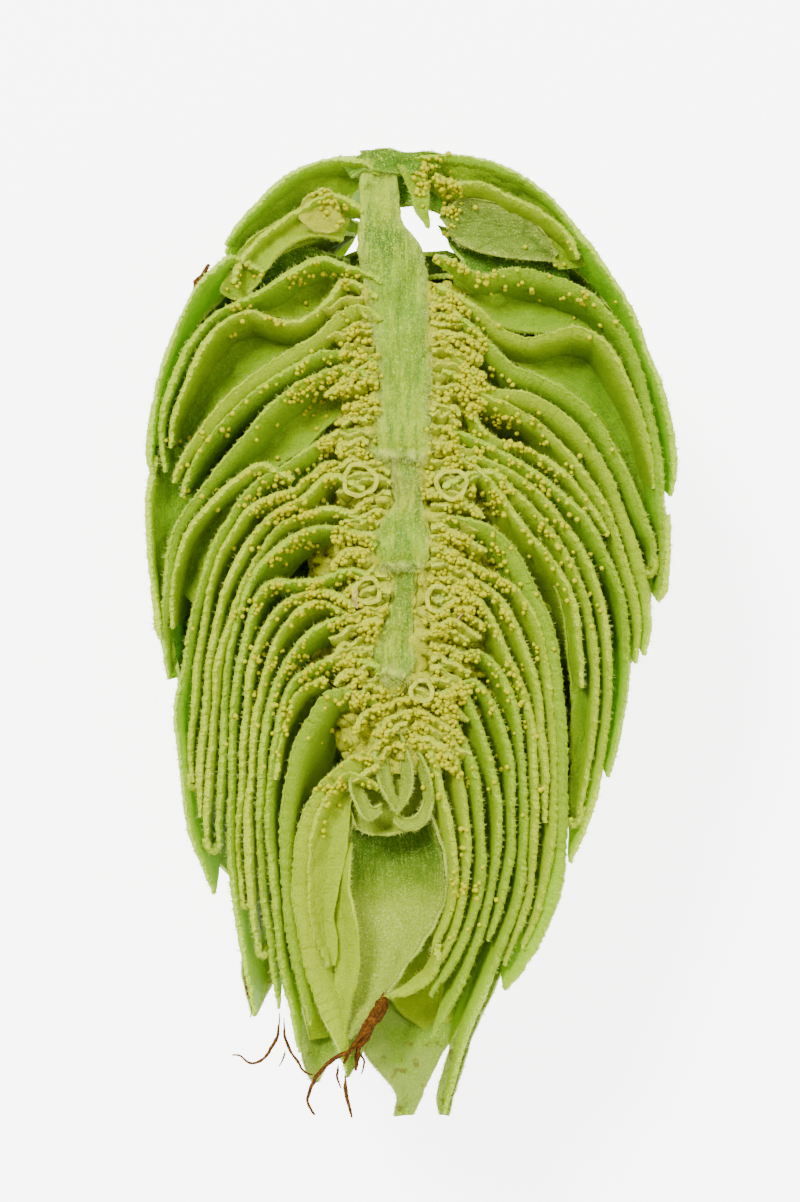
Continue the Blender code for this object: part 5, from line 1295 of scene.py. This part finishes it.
def scatter_group(name, shape, fields):
    """A node group that sets a small shape on each point of a mesh and makes all of it real."""
    tree = bpy.data.node_groups.new(name, "GeometryNodeTree")
    tree.interface.new_socket("Geometry", in_out="INPUT", socket_type="NodeSocketGeometry")
    for field, kind, value in fields:
        socket = tree.interface.new_socket(field, in_out="INPUT", socket_type=kind)
        if value is not None:
            socket.default_value = value
    tree.interface.new_socket("Geometry", in_out="OUTPUT", socket_type="NodeSocketGeometry")
    nodes, links = tree.nodes, tree.links
    entry = nodes.new("NodeGroupInput")
    leave = nodes.new("NodeGroupOutput")
    put = nodes.new("GeometryNodeInstanceOnPoints")
    size = nodes.new("GeometryNodeInputNamedAttribute")
    size.data_type = "FLOAT"
    size.inputs["Name"].default_value = "size"
    aim = nodes.new("GeometryNodeInputNamedAttribute")
    aim.data_type = "FLOAT_VECTOR"
    aim.inputs["Name"].default_value = "aim"
    turn = nodes.new("FunctionNodeAlignRotationToVector")
    turn.axis = "Z"
    real = nodes.new("GeometryNodeRealizeInstances")
    even = nodes.new("GeometryNodeSetShadeSmooth")
    dress = nodes.new("GeometryNodeSetMaterial")
    links.new(entry.outputs["Geometry"], put.inputs["Points"])
    links.new(shape(nodes, links, entry), put.inputs["Instance"])
    links.new(aim.outputs["Attribute"], turn.inputs["Vector"])
    links.new(turn.outputs["Rotation"], put.inputs["Rotation"])
    links.new(size.outputs["Attribute"], put.inputs["Scale"])
    links.new(put.outputs["Instances"], real.inputs["Geometry"])
    links.new(real.outputs["Geometry"], even.inputs["Geometry"])
    links.new(even.outputs["Geometry"], dress.inputs["Geometry"])
    links.new(entry.outputs["Finish"], dress.inputs["Material"])
    links.new(dress.outputs["Geometry"], leave.inputs["Geometry"])
    return tree


def scatter(name, tree, spots, sizes, aims, values):
    """Runs a scatter group on spots in millimetres and returns the plain mesh that it makes."""
    mesh = bpy.data.meshes.new(name + "_spots")
    mesh.from_pydata((spots * MM).tolist(), [], [])
    size = mesh.attributes.new("size", "FLOAT", "POINT")
    size.data.foreach_set("value", np.asarray(sizes, np.float32))
    aim = mesh.attributes.new("aim", "FLOAT_VECTOR", "POINT")
    aim.data.foreach_set("vector", np.asarray(aims, np.float32).ravel())
    holder = bpy.data.objects.new(name + "_holder", mesh)
    bpy.context.scene.collection.objects.link(holder)
    nodes = holder.modifiers.new("scatter", "NODES")
    nodes.node_group = tree
    for item in tree.interface.items_tree:
        if item.in_out == "INPUT" and item.name in values:
            nodes[item.identifier] = values[item.name]
    bpy.context.view_layer.update()
    made = bpy.data.meshes.new_from_object(holder.evaluated_get(bpy.context.evaluated_depsgraph_get()))
    bpy.data.objects.remove(holder)
    piece = bpy.data.objects.new(name, made)
    bpy.context.scene.collection.objects.link(piece)
    return piece


def bead_shape(nodes, links, entry):
    ball = nodes.new("GeometryNodeMeshUVSphere")
    ball.inputs["Segments"].default_value = 8
    ball.inputs["Rings"].default_value = 4
    links.new(entry.outputs["Bead radius"], ball.inputs["Radius"])
    return ball.outputs["Mesh"]


RESIN_YELLOWS = [
    (0.34, (0.38, 0.32, 0.0)), (0.42, (0.38, 0.365, 0.0)), (0.56, (0.38, 0.39, 0.0)),
    (0.70, (0.34, 0.38, 0.0)),
]
gland_look = Finish("lupulin_resin_yellow")
fine = gland_look.place()
colour = gland_look.ramp(gland_look.grain(fine, 0.16, 2.0), RESIN_YELLOWS)
gland_look.bump(gland_look.grain(fine, 0.05, 2.0), 0.012, 0.5)
gland_look.surface(colour, 0.5, 0.04, 0.0, 0.08)
bead_tree = scatter_group("gland_beads", bead_shape, [
    ("Bead radius", "NodeSocketFloat", BEAD_RADIUS * MM), ("Finish", "NodeSocketMaterial", None),
])
for side, mask in (("left", chosen[:, 0] < MIDDLE_X), ("right", chosen[:, 0] >= MIDDLE_X)):
    spots = chosen[mask]
    sizes = rng.uniform(0.72, 1.18, len(spots))
    aims = rng.normal(0, 0.5, (len(spots), 3)) + (0, 0, 1)
    glands = scatter(f"lupulin_glands_{side}", bead_tree, spots, sizes, aims,
                     {"Bead radius": BEAD_RADIUS * MM, "Finish": gland_look.material})
    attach(glands, "root")


# ---------------------------------------------------------------- hairs
# Short white hairs stand along every cut edge and leaf margin, and in dense fringes where the strig
# has its nodes.
HAIR_LENGTH = 0.15
HAIR_RADIUS = 0.010
EDGE_HAIRS_PER_MM = 30
NODE_FRINGES = (              # height, hairs, and how far they spread
    (6.55, 330, 0.10), (2.45, 330, 0.10), (-1.7, 240, 0.12), (5.7, 260, 0.5), (14.0, 60, 0.3),
)
MARGIN_HAIRS = 700


def hair_shape(nodes, links, entry):
    spike = nodes.new("GeometryNodeMeshCone")
    spike.inputs["Vertices"].default_value = 3
    spike.inputs["Side Segments"].default_value = 1
    spike.inputs["Radius Top"].default_value = 0.0
    links.new(entry.outputs["Hair radius"], spike.inputs["Radius Bottom"])
    links.new(entry.outputs["Hair length"], spike.inputs["Depth"])
    return spike.outputs["Mesh"]


hair_look = Finish("leaf_hair_white")
patchy = hair_look.grain(hair_look.place(), 0.5, 2.0)
colour = hair_look.ramp(patchy, [(0.3, (0.50, 0.62, 0.05)), (0.7, (0.66, 0.74, 0.20))])
hair_look.surface(colour, 0.5, 0.4, 0.0, 0.4)
hair_tree = scatter_group("leaf_hairs", hair_shape, [
    ("Hair radius", "NodeSocketFloat", HAIR_RADIUS * MM), ("Hair length", "NodeSocketFloat",
                                                           HAIR_LENGTH * MM),
    ("Finish", "NodeSocketMaterial", None),
])
hair_spots = []
hair_aims = []
for name, points, normals, thickness, tags in leaf_faces:
    if name.startswith(("back_bract", "leaf_bases", "perianth")):
        continue
    rims = [(points[:, 0], points[:, 1], normals[:, 0], thickness[:, 0])]
    if not name.endswith("_leaf") or name.startswith(("tip", "centre")):
        rims.append((points[:, -1], points[:, -2], normals[:, -1], thickness[:, -1]))
    for edge, inside, lean, thick in rims:
        length = np.linalg.norm(np.diff(edge, axis=0), axis=1).sum()
        count = int(length * EDGE_HAIRS_PER_MM)
        at = rng.random(count) * (len(edge) - 1.001)
        i = at.astype(int)
        share = (at - i)[:, None]
        side = rng.choice([-1.0, 1.0], count)[:, None]
        spot = edge[i] * (1 - share) + edge[i + 1] * share
        out = edge[i] - inside[i]
        out /= np.maximum(np.linalg.norm(out, axis=1, keepdims=True), 1e-9)
        aim = side * lean[i] * 1.2 + out * 0.5 + rng.normal(0, 0.45, (count, 3))
        hair_spots.append(spot + side * lean[i] * thick[i][:, None] * 0.5)
        hair_aims.append(aim)
for y, count, spread in NODE_FRINGES:
    left, right = (float(strig_side(y, side)) for side in (-1, 1))
    spots = np.stack([rng.uniform(left, right, count), y + rng.normal(0, spread, count),
                      np.full(count, CUT_HEIGHT - 0.02)], axis=1)
    hair_spots.append(spots)
    hair_aims.append(rng.normal(0, 0.5, (count, 3)) + (0, -0.8, 0.7))
for side in (-1, 1):
    heights = rng.uniform(5.0, 14.0, MARGIN_HAIRS)
    inset = strig_side(heights, side) - side * rng.uniform(0, 0.25, MARGIN_HAIRS)
    hair_spots.append(np.stack([inset, heights, np.full(MARGIN_HAIRS, CUT_HEIGHT - 0.06)], axis=1))
    hair_aims.append(rng.normal(0, 0.5, (MARGIN_HAIRS, 3)) + (side * 0.9, 0, 0.5))
hair_spots = np.vstack(hair_spots)
hair_aims = np.vstack(hair_aims)
hair_aims /= np.linalg.norm(hair_aims, axis=1, keepdims=True)
hair_sizes = rng.uniform(0.5, 1.25, len(hair_spots))
hair_values = {"Hair radius": HAIR_RADIUS * MM, "Hair length": HAIR_LENGTH * MM,
               "Finish": hair_look.material}
for side, mask in (("left", hair_spots[:, 0] < MIDDLE_X), ("right", hair_spots[:, 0] >= MIDDLE_X)):
    hairs = scatter(f"leaf_hairs_{side}", hair_tree, hair_spots[mask], hair_sizes[mask], hair_aims[mask],
                    hair_values)
    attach(hairs, "root")


# ---------------------------------------------------------------- table, light and camera
# A plain pale table top, a wide soft light from above and fill from all sides. The camera looks
# straight down on the cut face.
TABLE_GLOW = 4.5
TABLE_SIZE = 1.2
SKY_STRENGTH = 1.15
bpy.ops.mesh.primitive_plane_add(size=TABLE_SIZE)
table = bpy.context.object
table.name = "table_top"
pale = Finish("pale_table")
colour = pale.ramp(pale.grain(pale.place(), 40.0, 2.0), [(0.3, 0.93), (0.7, 0.95)])
pale.surface(colour, 0.8, 0.2)
pale.shader.inputs["Emission Color"].default_value = (1, 1, 1, 1)
pale.shader.inputs["Emission Strength"].default_value = TABLE_GLOW
table.data.materials.append(pale.material)

world = bpy.data.worlds.new("studio")
world.use_nodes = True
world.node_tree.nodes["Background"].inputs["Color"].default_value = (1, 1, 1, 1)
world.node_tree.nodes["Background"].inputs["Strength"].default_value = SKY_STRENGTH
bpy.context.scene.world = world
LIGHTS = [                    # name, place and size in metres, and power in watts
    ("key_light", (-0.25, 0.35, 0.45), 0.22, 9.0), ("fill_light", (0.35, 0.1, 0.4), 0.35, 2.5),
]
for name, place, size, power in LIGHTS:
    lamp = bpy.data.lights.new(name, "AREA")
    lamp.shape = "DISK"
    lamp.size = size
    lamp.energy = power
    light = bpy.data.objects.new(name, lamp)
    light.location = place
    light.rotation_euler = (-Vector(place)).to_track_quat("-Z", "Y").to_euler()
    bpy.context.scene.collection.objects.link(light)

CAMERA_X = -0.407
CAMERA_Y = 1.222
CAMERA_DISTANCE = 123.7
lens = bpy.data.cameras.new("camera")
lens.sensor_width = 36.0
lens.lens = 100.0
lens.clip_start = 0.005
lens.clip_end = 5.0
camera = bpy.data.objects.new("camera", lens)
camera.location = Vector((CAMERA_X, CAMERA_Y, CUT_HEIGHT + CAMERA_DISTANCE)) * MM
bpy.context.scene.collection.objects.link(camera)
bpy.context.scene.camera = camera
